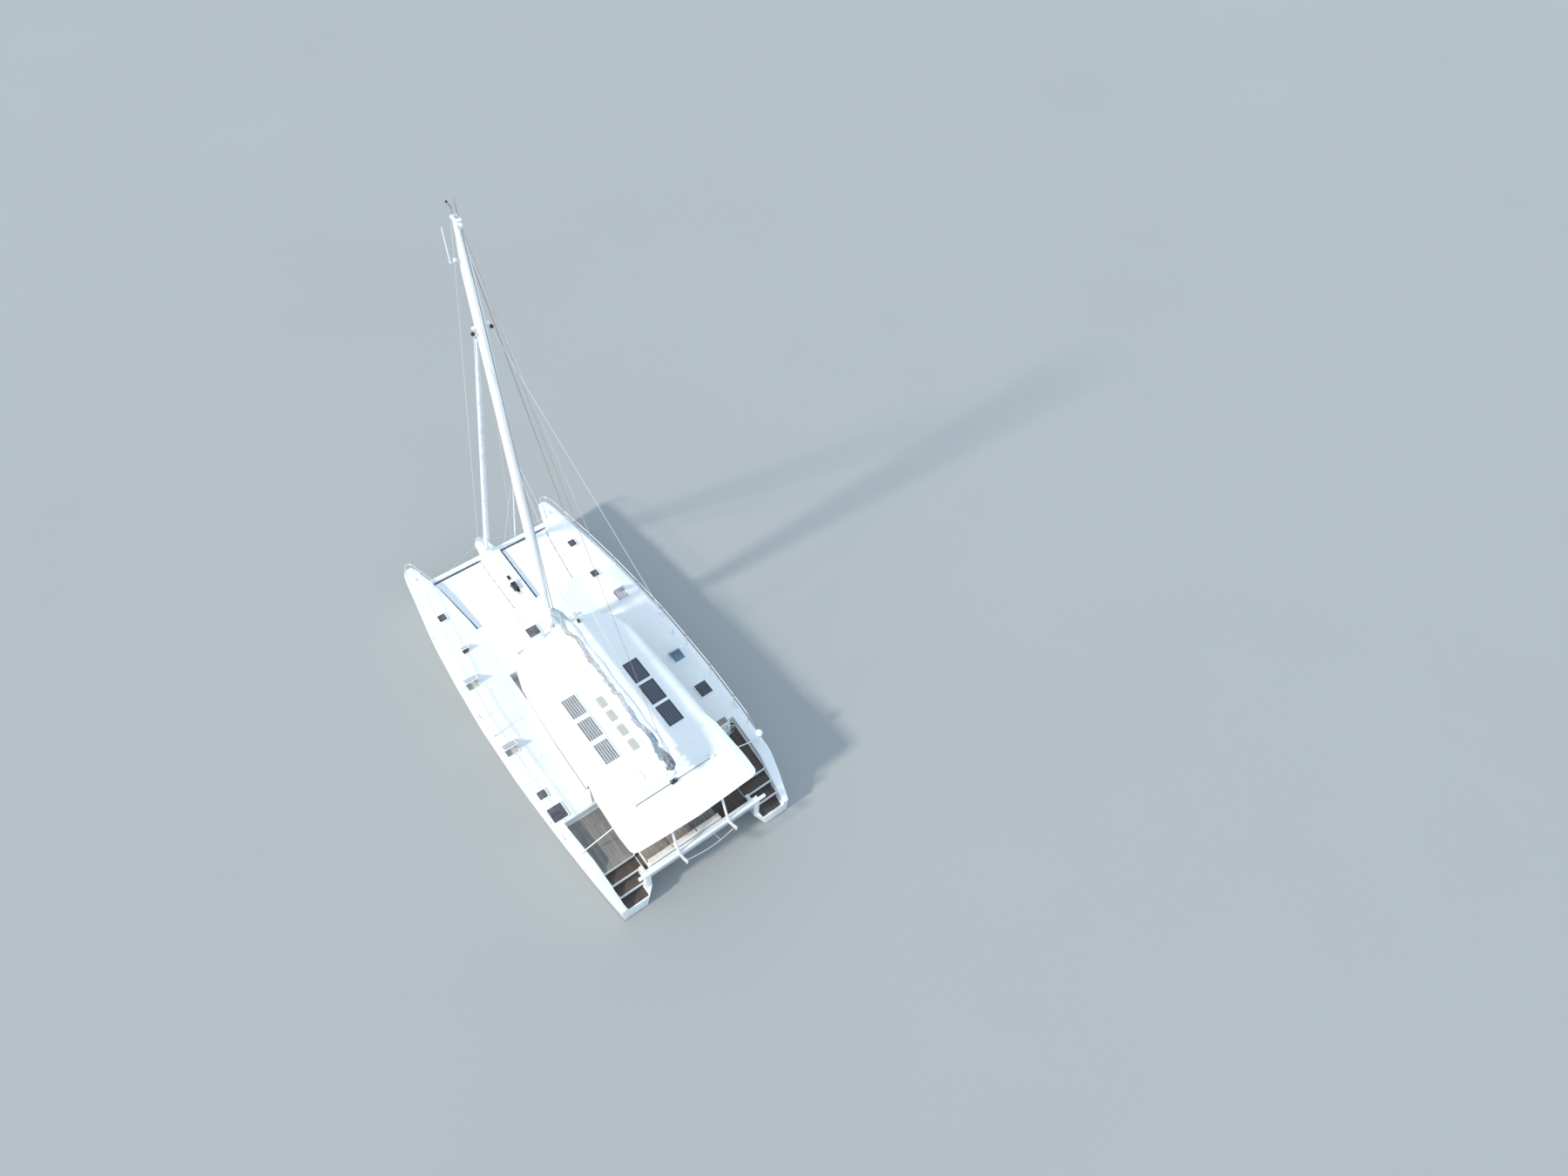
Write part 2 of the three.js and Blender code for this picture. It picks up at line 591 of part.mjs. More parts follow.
// Trampoline: a net inside its frame, held at lacing points all round
const NET_INSET = 70;
const LACING_STEP = 420;
const LACE_CLEAR = 1.8; // where a lace meets the hull's slanting face
function buildTrampoline(side, name) {
  const [fore, aft] = [BEAM_X - BEAM_R, BRIDGE_BOW];
  const outer = [fore - NET_INSET, 7100, 6500, 6000, 5500, 5100, 4750, aft + NET_INSET].map((x) =>
    [x, innerEdge(x) - NET_INSET]);
  const corners = [[fore - NET_INSET, NACELLE_Y + NET_INSET], ...outer,
    [aft + NET_INSET, NACELLE_Y + NET_INSET]];
  const net = [plan(corners, [NET_Z - 8, NET_Z + 8])];
  for (let x = aft + 2 * NET_INSET; x < fore - NET_INSET; x += LACING_STEP) {
    net.push(lace([x, NACELLE_Y + NET_INSET + 20], [x, NACELLE_Y + GAP]));
    net.push(lace([x, innerEdge(x) - NET_INSET - 20], [x, innerEdge(x) - LACE_CLEAR]));
  }
  for (let y = NACELLE_Y + 2 * NET_INSET; y < innerEdge(aft) - NET_INSET; y += LACING_STEP) {
    net.push(lace([fore - NET_INSET - 20, y], [fore - GAP, y]));
    net.push(lace([aft + NET_INSET + 20, y], [aft + GAP, y]));
  }
  const port = unite(...net);
  place("trampoline_" + name, side > 0 ? port : mirrored(port), NET);
}
const lace = ([x0, y0], [x1, y1]) => rod([x0, y0, NET_Z], [x1, y1, NET_Z], 6, 4);

// Mast with its hounds, gooseneck lugs, inner stay lug and foot
function oval(halfX, halfY, sides) {
  return Array.from({ length: sides }, (_, i) => {
    const angle = (i / sides) * 2 * Math.PI;
    return [halfX * Math.cos(angle), halfY * Math.sin(angle)];
  });
}

function buildMast() {
  // height, size against the full section
  const heights = [[DECK + GAP, 1], [20200, 1], [MAST_TOP - 250, 0.68], [MAST_TOP, 0.6]];
  const rings = heights.map(([z, size]) =>
    oval(MAST_A * size, MAST_B * size, 16).map(([x, y]) => [MAST_X + x, y, z]));
  const hounds = block([MAST_X - 60, MAST_X + 40], [-HOUND_Y - 40, HOUND_Y + 40],
    [HOUNDS, HOUNDS + 60]);
  const tang = block([MAST_X, MAST_X + MAST_A + 120], [-35, 35], [HOUNDS, HOUNDS + 60]);
  const lugs = [BOOM_Z + LUG_Z, BOOM_Z - LUG_Z - 30].map((z) =>
    block([PIVOT_X - 50, MAST_X - MAST_A + 30], [-45, 45], [z, z + 30]));
  const foot = block([MAST_X - 180, MAST_X + 260], [-170, 170], [DECK + GAP, DECK + 40]);
  const crane = block([MAST_X - 330, MAST_X + 230], [-35, 35], [MAST_TOP - 90, MAST_TOP - 30]);
  const inner = block([MAST_X + 60, INNER_HEAD[0] + 60], [-90, 10],
    [INNER_HEAD[2], INNER_HEAD[2] + 40]);
  place("mast", unite(loft(rings, dropZ), hounds, tang, inner, ...lugs, foot, crane), SPAR);
}

// Boom, turning on an upright pin between the mast's lugs
function buildBoom() {
  // x, half width, top z, bottom z
  const shape = [[1780, 70, 80, -80], [1450, 110, 150, -130], [-6500, 110, 150, -150],
    [BOOM_END, 80, 110, -90]];
  const rings = shape.map(([x, half, top, bottom]) =>
    oval(1, 1, 12).map(([c, s]) => [x, half * c, BOOM_Z + (s > 0 ? top * s : -bottom * s)]));
  const reach = LUG_Z - GAP;
  const knuckle = rod([PIVOT_X, 0, BOOM_Z - reach], [PIVOT_X, 0, BOOM_Z + reach], 45, 12);
  const neck = block([1700, PIVOT_X], [-30, 30], [BOOM_Z - 60, BOOM_Z + 60]);
  place("boom", unite(loft(rings, dropX), knuckle, neck), SPAR);
}

// Stowed mainsail in its open bag on the boom
// x, half width, top z
const SAIL = [[1640, 90, 4790], [1250, 190, 4850], [200, 215, 4840], [-2500, 215, 4820],
  [-5200, 205, 4800], [-6300, 165, 4740], [-6680, 90, 4620]];
const BAG_BASE = BOOM_Z + 150 + GAP;
function buildSail() {
  const rings = SAIL.map(([x, half, top]) => {
    const low = BAG_BASE + 22 + GAP;
    const [waist, crown] = [low + 0.4 * (top - low), low + 0.8 * (top - low)];
    return [[x, -half * 0.55, low], [x, -half, waist], [x, -half * 0.8, crown], [x, 0, top],
      [x, half * 0.8, crown], [x, half, waist], [x, half * 0.55, low]];
  });
  place("mainsail_stowed", loft(rings, dropX), CLOTH);
  // x, half width at the rim, rim height above the boom
  const bag = [[1600, 160, 250], [1250, 300, 310], [200, 340, 320], [-5400, 330, 290],
    [-6600, 250, 200]];
  const skin = bag.map(([x, half, rise]) => {
    const [low, high] = [BAG_BASE, BAG_BASE + rise];
    return [[x, -150, low], [x, -half - 12, high], [x, -half, high], [x, -half + 8, high - 20],
      [x, -138, low + 22], [x, 138, low + 22], [x, half - 8, high - 20], [x, half, high],
      [x, half + 12, high], [x, 150, low]];
  });
  place("sail_bag", loft(skin, dropX), CLOTH);
}

// Forestay with its furler and the rolled genoa, and the cap shrouds
const STAY_FOOT = [7850, 0, NACELLE_TOP + GAP];
const STAY_HEAD = [MAST_X + MAST_A + 85, 0, HOUNDS - GAP];
function buildStays() {
  const [a, b] = [new THREE.Vector3(...STAY_FOOT), new THREE.Vector3(...STAY_HEAD)];
  const length = a.distanceTo(b);
  const at = (d) => a.clone().lerp(b, d / length).toArray();
  const foot = rod(STAY_FOOT, [STAY_FOOT[0], 0, NACELLE_TOP + 60], 40, 10);
  const furler = turned([[0, 30], [14, 30], [14, 190], [140, 200], [140, 215], [70, 225],
    [70, 300], [140, 310], [140, 325], [45, 340], [45, 420], [0, 420]], STAY_FOOT, STAY_HEAD, 14);
  place("genoa_furler", unite(foot, furler), STEEL);
  const [low, high] = [420 + GAP, length - 900];
  const roll = turned([[0, low], [38, low], [60, low + 120], [118, low + 900], [112, high * 0.4],
    [82, high * 0.8], [48, high - 60], [0, high]], STAY_FOOT, STAY_HEAD, 12);
  place("furled_genoa", roll, CLOTH);
  const swivel = turned([[0, high + GAP], [36, high + GAP], [36, high + 170], [10, high + 190],
    [10, length - 40], [0, length - 40]], STAY_FOOT, STAY_HEAD, 8);
  place("forestay_head", unite(swivel, ball([...at(length - 30)], 20, 8)), STEEL);
  for (const [side, name] of SIDES) {
    const head = [MAST_X - 15, side * HOUND_Y, HOUNDS - GAP - 20];
    const plate = [-400, side * 4130, DECK + GAP];
    const eye = [plate[0], plate[1], DECK + 60];
    const screw = new THREE.Vector3(...eye).lerp(new THREE.Vector3(...head), 0.028).toArray();
    const shroud = unite(rod(eye, head, 9, 8), ball(head, 20, 8), rod(eye, screw, 24, 10),
      block([-440, -360], [side * 4130 - 25, side * 4130 + 25], [plate[2], DECK + 75]));
    place("cap_shroud_" + name, shroud, STEEL);
  }
}

// Bow pulpit: a tube bent round the bow on its own legs
// x, y, height above the deck
const PULPIT = [[8000, 3490, 560], [8340, 3430, 500], [8560, 3330, 470], [8630, 3220, 460],
  [8570, 3110, 470], [8360, 3020, 500], [8000, 2960, 560]];
const PULPIT_LEGS = [[8540, 3390], [8540, 3060], [7900, 2940]];
function pulpit(outer, footZ) {
  const fore = STANCHIONS[0];
  const ends = [[fore, outer(fore)], [fore, innerEdge(fore) + RAIL_INSET]];
  const [start, end] = ends.map(([x, y]) => [x, y, deckAt(x) + RAIL_H - 8]);
  const tube = [start, ...PULPIT.map(([x, y, rise]) => [x, y, deckAt(x) + rise]), end];
  const legs = PULPIT_LEGS.map(([x, y]) => {
    const near = tube.slice().sort((a, b) => Math.hypot(a[0] - x, a[1] - y) -
      Math.hypot(b[0] - x, b[1] - y))[0];
    return chain([[x, y, footZ(x)], [x, y, footZ(x) + 60], near], 15);
  });
  const [x, y, z] = end;
  return [chain(tube, 19), ...legs, rod([x, y, footZ(x)], end, 15, 8)];
}

// Rolled staysail on its inner stay, with the pole's lift beside it
function buildStaysail() {
  const tip = new THREE.Vector3(INNER_HEAD[0], INNER_HEAD[1], INNER_HEAD[2] - GAP);
  const foot = new THREE.Vector3(BEAM_X, -1300, NET_Z);
  const length = foot.distanceTo(tip);
  const roll = turned([[0, 0], [12, 0], [12, 450], [26, 520], [32, 1100], [27, 0.6 * length],
    [18, 0.93 * length], [9, 0.94 * length], [9, length + 60], [0, length + 60]],
  foot.toArray(), tip.toArray(), 10);
  const lift = rod([BEAM_X, -750, NET_Z], foot.clone().lerp(tip, 0.97).toArray(), 7, 6);
  const clear = rod([BEAM_X, -2500, NET_Z], [BEAM_X, 0, NET_Z], BEAM_R + GAP, 16);
  const above = block([0, 4000], [-1000, 1000], [INNER_HEAD[2] - GAP, INNER_HEAD[2] + 900]);
  place("staysail_roll", cut(unite(roll, lift), clear, above), CLOTH);
}

// Guard rails: bow pulpit, stanchions and two lifelines along each hull
const STANCHIONS = [7300, 5600, 3900, 2200, 500, -1200, -2900, -4600, -5600];
const RAIL_INSET = 95;
function buildRail(side, name) {
  const outer = (x) => outerEdge(x) - RAIL_INSET;
  const parts = [];
  const footZ = (x) => deckAt(x + 30) + GAP;
  for (const x of STANCHIONS) {
    parts.push(rod([x, outer(x), footZ(x)], [x, outer(x), deckAt(x) + RAIL_H], 13, 8));
    parts.push(rod([x, outer(x), footZ(x)], [x, outer(x), footZ(x) + 30], 30, 8));
  }
  for (const height of [RAIL_H - 8, RAIL_H / 2]) {
    parts.push(chain(STANCHIONS.map((x) => [x, outer(x), deckAt(x) + height]), 7, 6));
  }
  parts.push(...pulpit(outer, footZ));
  if (side < 0) {
    const end = STANCHIONS[STANCHIONS.length - 1];
    parts.push(chain([[end, outer(end), DECK + RAIL_H - 8], [-6560, 3930, DECK + RAIL_H - 20]], 7));
    parts.push(rod([-6560, 3930, DECK + GAP], [-6560, 3930, DECK + RAIL_H], 13, 8));
    parts.push(ball([-6560, 3930, DECK + RAIL_H + 120], 140, 12));
  }
  const port = unite(...parts);
  place("guard_rail_" + name, side > 0 ? port : mirrored(port), STEEL);
}

// Underwater gear: rudder, drive leg and propeller of each hull
function buildDrive(side, name) {
  const y = side * HULL_Y;
  const [rudderX, , rudderPad] = PADS[0];
  const stock = rod([rudderX, y, rudderPad - GAP], [rudderX, y, rudderPad - 60], 45, 12);
  // z, fore x, aft x, half thickness
  const blade = [[rudderPad - 12, 170, -430, 42], [-1330, 120, -330, 24]].map(([z, fore, aft, t]) =>
    [[fore, 0], [fore - 90, t], [(fore + aft) / 2, t * 0.9], [aft, 4], [aft, -4],
      [(fore + aft) / 2, -t * 0.9], [fore - 90, -t]].map(([dx, dy]) => [rudderX + dx, y + dy, z]));
  place("rudder_" + name, unite(loft(blade, dropZ), stock), ANTIFOUL);
  const [legX, , legPad] = PADS[1];
  const leg = plan(oval(130, 45, 12).map(([x, dy]) => [legX + x, y + dy]),
    [PROP_Z, legPad - GAP]);
  const pod = turned([[0, 0], [40, 10], [75, 120], [75, 380], [52, 460], [18, 460],
    [18, 465 - GAP], [0, 465 - GAP]], [legX + 210, y, PROP_Z], [legX - 500, y, PROP_Z], 12);
  place("drive_leg_" + name, unite(leg, pod), STEEL);
  const hubX = legX + 210 - 460 - 5;
  const hub = turned([[0, 0], [50, 0], [50, 110], [20, 190], [0, 195]], [hubX, y, PROP_Z],
    [hubX - 500, y, PROP_Z], 12);
  const blades = [0, 120, 240].map((degrees) => propellerBlade(hubX - 55, y, degrees));
  place("propeller_" + name, unite(hub, ...blades), STEEL);
}

function propellerBlade(x, y, degrees) {
  // radius along the blade, half chord, pitch angle in degrees
  const rings = [[30, 38, 62], [120, 80, 42], [215, 40, 24]].map(([r, half, pitch]) => {
    const angle = (pitch * Math.PI) / 180;
    const [c, s] = [Math.cos(angle), Math.sin(angle)];
    return [[half, 0], [0, 7], [-half, 0], [0, -7]].map(([u, v]) =>
      [s * u + c * v, c * u - s * v, r]);
  });
  const turn = (degrees * Math.PI) / 180;
  const set = rings.map((ring) => ring.map(([dx, dy, dz]) => [x + dx,
    y + dy * Math.cos(turn) - dz * Math.sin(turn), PROP_Z + dy * Math.sin(turn) + dz * Math.cos(turn)]));
  return loft(set, ([px, py, pz]) => [px, py * Math.cos(turn) + pz * Math.sin(turn)]);
}

// Roof fittings: solar arrays, skylights, sheet track and its car
const PANELS_X = [-1930, -3080, -4230];
const ARRAY_Y = { port: 1310, starboard: -1450 };
function buildRoofGear() {
  const z = ROOF + GAP;
  for (const [, name] of SIDES) {
    const ys = [ARRAY_Y[name] - 320, ARRAY_Y[name] + 320];
    const tray = block([-4750, -1410], [ys[0] - 20, ys[1] + 20], [z, z + 18]);
    const panels = PANELS_X.map((x) => block([x - 500, x + 500], ys, [z + 10, z + 34]));
    place("solar_array_" + name, unite(tray, ...panels), DARK);
  }
  const strip = block([-4840, -2070], [220, 520], [z, z + 12]);
  const panes = [-2350, -3060, -3810, -4550].map((x) =>
    block([x - 250, x + 250], [240, 500], [z + 5, z + 34]));
  place("roof_skylights", unite(strip, ...panes), GLASS);
  const track = block([TRACK_X - 45, TRACK_X + 45], [-1750, 1750], [z, z + 30]);
  const stops = [-1, 1].map((s) => block([TRACK_X - 55, TRACK_X + 55],
    [s * 1700 - 50, s * 1700 + 50], [z, z + 70]));
  place("sheet_track", unite(track, ...stops), STEEL);
  place("sheet_car", block([TRACK_X - 80, TRACK_X + 80], [-130, 130], [z + 30 + GAP, z + 95]), DARK);
}

// Helm on the starboard quarter deck
const WHEEL_X = -5610;
const WHEEL_Y = -3050;
const WHEEL_Z = 2260;
function buildHelm() {
  const console = sideView([[-5060, WING + GAP], [-5060, 2380], [-5200, 2520], [-5400, 2470],
    [-5470, 2050], [-5470, WING + GAP]], [WHEEL_Y - 330, WHEEL_Y + 330]);
  const shaft = rod([-5400, WHEEL_Y, WHEEL_Z], [WHEEL_X + 60, WHEEL_Y, WHEEL_Z], 35, 10);
  place("helm_console", unite(console, shaft), GELCOAT);
  const rim = new THREE.TorusGeometry(400, 16, 8, 28).rotateY(Math.PI / 2);
  const spokes = [0, 1, 2, 3, 4].map((i) => {
    const angle = (i / 5) * 2 * Math.PI;
    const end = [WHEEL_X, WHEEL_Y + 400 * Math.sin(angle), WHEEL_Z + 400 * Math.cos(angle)];
    return rod([WHEEL_X, WHEEL_Y, WHEEL_Z], end, 9, 6);
  });
  const hub = rod([WHEEL_X + 60 - GAP, WHEEL_Y, WHEEL_Z], [WHEEL_X - 40, WHEEL_Y, WHEEL_Z], 45, 12);
  place("helm_wheel", unite(asSolid(rim.translate(WHEEL_X, WHEEL_Y, WHEEL_Z)), ...spokes, hub),
    STEEL);
}

for (const [side, name] of SIDES) {
  buildHull(side, name);
  buildTrampoline(side, name);
  buildRail(side, name);
  buildDrive(side, name);
}
buildBridgedeck();
buildHatches();
buildSaloon();
buildDoor();
buildFurniture();
buildHardtop();
buildSternGear();
buildBowGear();
buildMast();
buildBoom();
buildSail();
buildStays();
buildStaysail();
buildRoofGear();
buildHelm();

export default boat;
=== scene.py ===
"""Sailing catamaran afloat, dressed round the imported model: metres, +X to the bow, +Y to port, +Z up."""
import json
import math

import bmesh
import bpy
from mathutils import Matrix, Vector, noise

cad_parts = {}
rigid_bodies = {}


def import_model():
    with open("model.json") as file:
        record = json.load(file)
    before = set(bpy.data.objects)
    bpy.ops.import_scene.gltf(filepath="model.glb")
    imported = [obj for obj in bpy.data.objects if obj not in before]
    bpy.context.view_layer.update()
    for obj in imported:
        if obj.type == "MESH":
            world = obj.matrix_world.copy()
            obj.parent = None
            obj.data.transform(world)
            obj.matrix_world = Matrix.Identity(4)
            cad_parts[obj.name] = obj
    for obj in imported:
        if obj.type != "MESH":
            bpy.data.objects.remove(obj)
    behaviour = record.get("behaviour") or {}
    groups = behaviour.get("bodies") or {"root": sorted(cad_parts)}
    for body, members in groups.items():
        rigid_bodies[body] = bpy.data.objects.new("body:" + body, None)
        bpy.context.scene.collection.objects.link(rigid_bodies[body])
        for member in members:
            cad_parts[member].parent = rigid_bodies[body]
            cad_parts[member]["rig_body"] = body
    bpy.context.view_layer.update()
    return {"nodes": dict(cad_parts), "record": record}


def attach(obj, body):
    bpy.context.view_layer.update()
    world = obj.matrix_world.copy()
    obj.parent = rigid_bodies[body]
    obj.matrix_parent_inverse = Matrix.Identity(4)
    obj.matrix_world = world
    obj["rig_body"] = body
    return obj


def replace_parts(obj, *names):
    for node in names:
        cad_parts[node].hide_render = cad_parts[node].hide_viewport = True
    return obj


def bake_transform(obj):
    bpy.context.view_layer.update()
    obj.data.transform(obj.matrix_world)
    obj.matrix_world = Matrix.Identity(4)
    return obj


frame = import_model()
NODES = frame["nodes"]
SLOT_OF = {row["node"]: row.get("material_slot") for row in frame["record"]["subparts"]}
SIDES = ((1, "port"), (-1, "starboard"))

# Shared places of the model, in metres
DECK = 1.96
ROOF = 3.47
MAST_X = 2.15
MAST_TOP = 21.85
PIVOT_X = 1.88
BOOM_Z = 4.25
BOOM_END = -6.75
BEAM_X = 7.78
BEAM_R = 0.12
NET_Z = 1.75
TRACK_X = -6.68
GAP = 0.0003
# Sections of a hull: x, deck inner y, deck outer y, deck z, waterline outer y
SECTIONS = (
    (8.75, 3.11, 3.33, 2.06, 3.235),
    (8.69, 3.03, 3.41, 2.059, 3.245),
    (8.54, 2.96, 3.48, 2.055, 3.27),
    (8.2, 2.885, 3.55, 2.045, 3.31),
    (7.1, 2.62, 3.7, 2.015, 3.49),
    (5.5, 2.42, 3.94, 1.98, 3.74),
    (4.4, 2.3, 4.07, 1.96, 3.88),
    (2.5, 2.3, 4.22, 1.96, 4.0),
    (0.0, 2.3, 4.34, 1.96, 4.08),
    (-2.5, 2.3, 4.34, 1.96, 4.06),
    (-5.0, 2.3, 4.24, 1.96, 3.98),
    (-7.2, 2.3, 4.09, 1.96, 3.85),
    (-8.5, 2.3, 3.88, 1.96, 3.73),
    (-8.75, 2.56, 3.8, 1.96, 3.69),
)


def slope(i, column):
    """Slope of a column at a section: the harmonic mean, or 0 at a turn."""
    if i in (0, len(SECTIONS) - 1):
        return 0.0
    before, after = [(b[column] - a[column]) / (b[0] - a[0])
                     for a, b in zip(SECTIONS[i - 1:i + 1], SECTIONS[i:i + 2])]
    return 0.0 if before * after <= 0 else 2 * before * after / (before + after)


def smoothed(step):
    """The sections joined by a smooth curve that never swings past them."""
    rows = []
    for i, (row, after) in enumerate(zip(SECTIONS, SECTIONS[1:])):
        reach = after[0] - row[0]
        parts = max(1, round(abs(reach) / step))
        for k in range(parts):
            t = k / parts
            ease = ((1 + 2 * t) * (1 - t) ** 2, t * (1 - t) ** 2, t * t * (3 - 2 * t), t * t * (t - 1))
            rows.append([row[0] + reach * t] + [
                ease[0] * row[c] + ease[1] * reach * slope(i, c)
                + ease[2] * after[c] + ease[3] * reach * slope(i + 1, c) for c in range(1, 5)])
    return rows + [list(SECTIONS[-1])]


STATIONS = smoothed(0.7)


def station(x, column):
    """A hull measure at x, on the straight line between two stations."""
    for ahead, behind in zip(STATIONS, STATIONS[1:]):
        if x >= behind[0]:
            break
    share = (ahead[0] - x) / (ahead[0] - behind[0])
    return ahead[column] + (behind[column] - ahead[column]) * share


# Materials

class Look:
    """A procedural material, laid out in the metres of the shared frame."""

    def __init__(self, name, colour, roughness, **sockets):
        self.material = bpy.data.materials.new(name)
        self.material.use_nodes = True
        tree = self.material.node_tree
        self.nodes, self.links = tree.nodes, tree.links
        self.shader = self.nodes["Principled BSDF"]
        self.shader.inputs["Base Color"].default_value = (*colour, 1)
        self.shader.inputs["Roughness"].default_value = roughness
        for socket, value in sockets.items():
            self.shader.inputs[socket.replace("_", " ")].default_value = value
        place = self.node("ShaderNodeTexCoord")
        self.place, self.facing = place.outputs["Object"], place.outputs["Normal"]
        self.normal = None

    def node(self, kind, inputs=None, **fields):
        made = self.nodes.new(kind)
        for field, value in fields.items():
            setattr(made, field, value)
        for key, value in (inputs or {}).items():
            if isinstance(value, bpy.types.NodeSocket):
                self.links.new(value, made.inputs[key])
            else:
                made.inputs[key].default_value = value
        return made

    def calc(self, operation, a, b=0.0, c=0.0):
        return self.node("ShaderNodeMath", {0: a, 1: b, 2: c}, operation=operation).outputs[0]

    def axis(self, letter, vector=None):
        return self.node("ShaderNodeSeparateXYZ", {0: vector or self.place}).outputs[letter]

    def grain(self, scale, stretch=(1, 1, 1), detail=4.0, roughness=0.55):
        mapped = self.node("ShaderNodeMapping", {0: self.place, 3: stretch}).outputs[0]
        return self.node("ShaderNodeTexNoise", {"Vector": mapped, "Scale": scale,
                         "Detail": detail, "Roughness": roughness}).outputs[0]

    def ramp(self, value, low, high, to_low=0.0, to_high=1.0):
        inputs = {0: value, 1: low, 2: high, 3: to_low, 4: to_high}
        return self.node("ShaderNodeMapRange", inputs).outputs[0]

    def patches(self, scale, *steps):
        """Noise of a scale, read through a ramp."""
        return self.ramp(self.grain(scale), *steps)

    def times(self, a, b):
        return self.calc("MULTIPLY", a, b)

    def within(self, value, low, high, soft):
        """1 between two values, fading to 0 over a soft margin."""
        return self.times(self.ramp(value, low - soft, low), self.ramp(value, high + soft, high))

    def lines(self, letter, pitch, width, shift=0.0):
        """1 on lines of a width across one axis, 0 between them."""
        part = self.calc("FRACT", self.calc("DIVIDE", self.calc("ADD", self.axis(letter), shift), pitch))
        return self.calc("LESS_THAN", part, width / pitch)

    def mix(self, share, a, b):
        a, b = [(*v, 1) if isinstance(v, tuple) and len(v) == 3 else v for v in (a, b)]
        return self.node("ShaderNodeMix", {0: share, 6: a, 7: b}, data_type="RGBA").outputs[2]

    def colour(self, value):
        self.links.new(value, self.shader.inputs["Base Color"])
        return self

    def rough(self, value):
        self.links.new(value, self.shader.inputs["Roughness"])
        return self

    def bump(self, height, distance, strength=1.0):
        inputs = {"Height": height, "Distance": distance, "Strength": strength}
        if self.normal:
            inputs["Normal"] = self.normal
        self.normal = self.node("ShaderNodeBump", inputs).outputs[0]
        self.links.new(self.normal, self.shader.inputs["Normal"])
        return self


def gelcoat_look(name, antifouling=False, nonskid=True):
    colour = (0.86, 0.875, 0.88)
    look = Look(name, colour, 0.28, Coat_Weight=0.35, Coat_Roughness=0.12)
    faded = tuple(c * 0.93 for c in colour)
    shade = look.mix(look.patches(0.7, 0.35, 0.65), colour, faded)
    streaks = look.ramp(look.grain(1.3, (1, 6, 0.4)), 0.62, 0.8, 0, 0.12)
    shade = look.mix(streaks, shade, (0.72, 0.72, 0.69))
    roughness = look.patches(3.0, 0.3, 0.7, 0.22, 0.34)
    if nonskid:
        up = look.calc("GREATER_THAN", look.axis("Z", look.facing), 0.965)
        seam = look.calc("MAXIMUM", look.lines("X", 1.3, 0.05, 0.35), look.lines("Y", 0.92, 0.05, 0.18))
        patch = look.times(up, look.calc("SUBTRACT", 1.0, seam))
        shade = look.mix(look.times(patch, 0.55), shade, (0.78, 0.79, 0.785))
        roughness = look.calc("ADD", roughness, look.times(patch, 0.35))
        cells = look.node("ShaderNodeTexVoronoi", {"Vector": look.place, "Scale": 190.0}).outputs[0]
        look.bump(look.times(cells, patch), 0.0015, 0.5)
    if antifouling:
        below = look.calc("LESS_THAN", look.axis("Z"), 0.035)
        worn = look.mix(look.patches(6.0, 0.4, 0.75), (0.02, 0.045, 0.075), (0.05, 0.09, 0.12))
        shade = look.mix(below, shade, worn)
        roughness = look.calc("MAXIMUM", roughness, look.times(below, 0.75))
    return look.colour(shade).rough(roughness)


def teak_look(name, wood):
    """Planks along the boat with dark caulking; wood is their middle colour."""
    look = Look(name, wood, 0.7)
    shades = {part: tuple(c * part for c in wood) for part in (0.4, 0.5, 0.8, 1.25, 1.6)}
    plank = look.calc("FLOOR", look.calc("DIVIDE", look.axis("Y"), 0.062))
    tint = look.node("ShaderNodeTexWhiteNoise", {"W": plank}, noise_dimensions="1D").outputs["Value"]
    grain = look.grain(9.0, (0.6, 14, 1), 6.0)
    tone = look.mix(tint, shades[0.8], shades[1.25])
    tone = look.mix(look.ramp(grain, 0.35, 0.7, 0, 0.6), tone, shades[0.5])
    tone = look.mix(look.patches(2.2, 0.5, 0.72, 0, 0.35), tone, shades[1.6])
    caulk = look.lines("Y", 0.062, 0.007)
    look.colour(look.mix(caulk, tone, shades[0.4]))
    look.rough(look.ramp(grain, 0.3, 0.7, 0.6, 0.8))
    look.bump(look.calc("SUBTRACT", 1.0, caulk), 0.002, 0.6)
    return look.bump(grain, 0.001, 0.4)


def cloth_look(name, light, dark, creases=1.0, weave=900.0, sheen=0.15):
    look = Look(name, light, 0.85, Sheen_Weight=sheen)
    fold = look.grain(2.4 * creases, (0.7, 3.5, 2.5), 5.0, 0.6)
    # The colour darkens where the fold noise rises, the same noise that drives the bump: painted shade along
    # the folds.
    look.colour(look.mix(look.ramp(fold, 0.42, 0.66), light, dark))
    look.bump(fold, 0.012, 0.35)
    threads = look.node("ShaderNodeTexWave", {"Vector": look.place, "Scale": weave}).outputs[1]
    return look.bump(threads, 0.0004, 0.3)


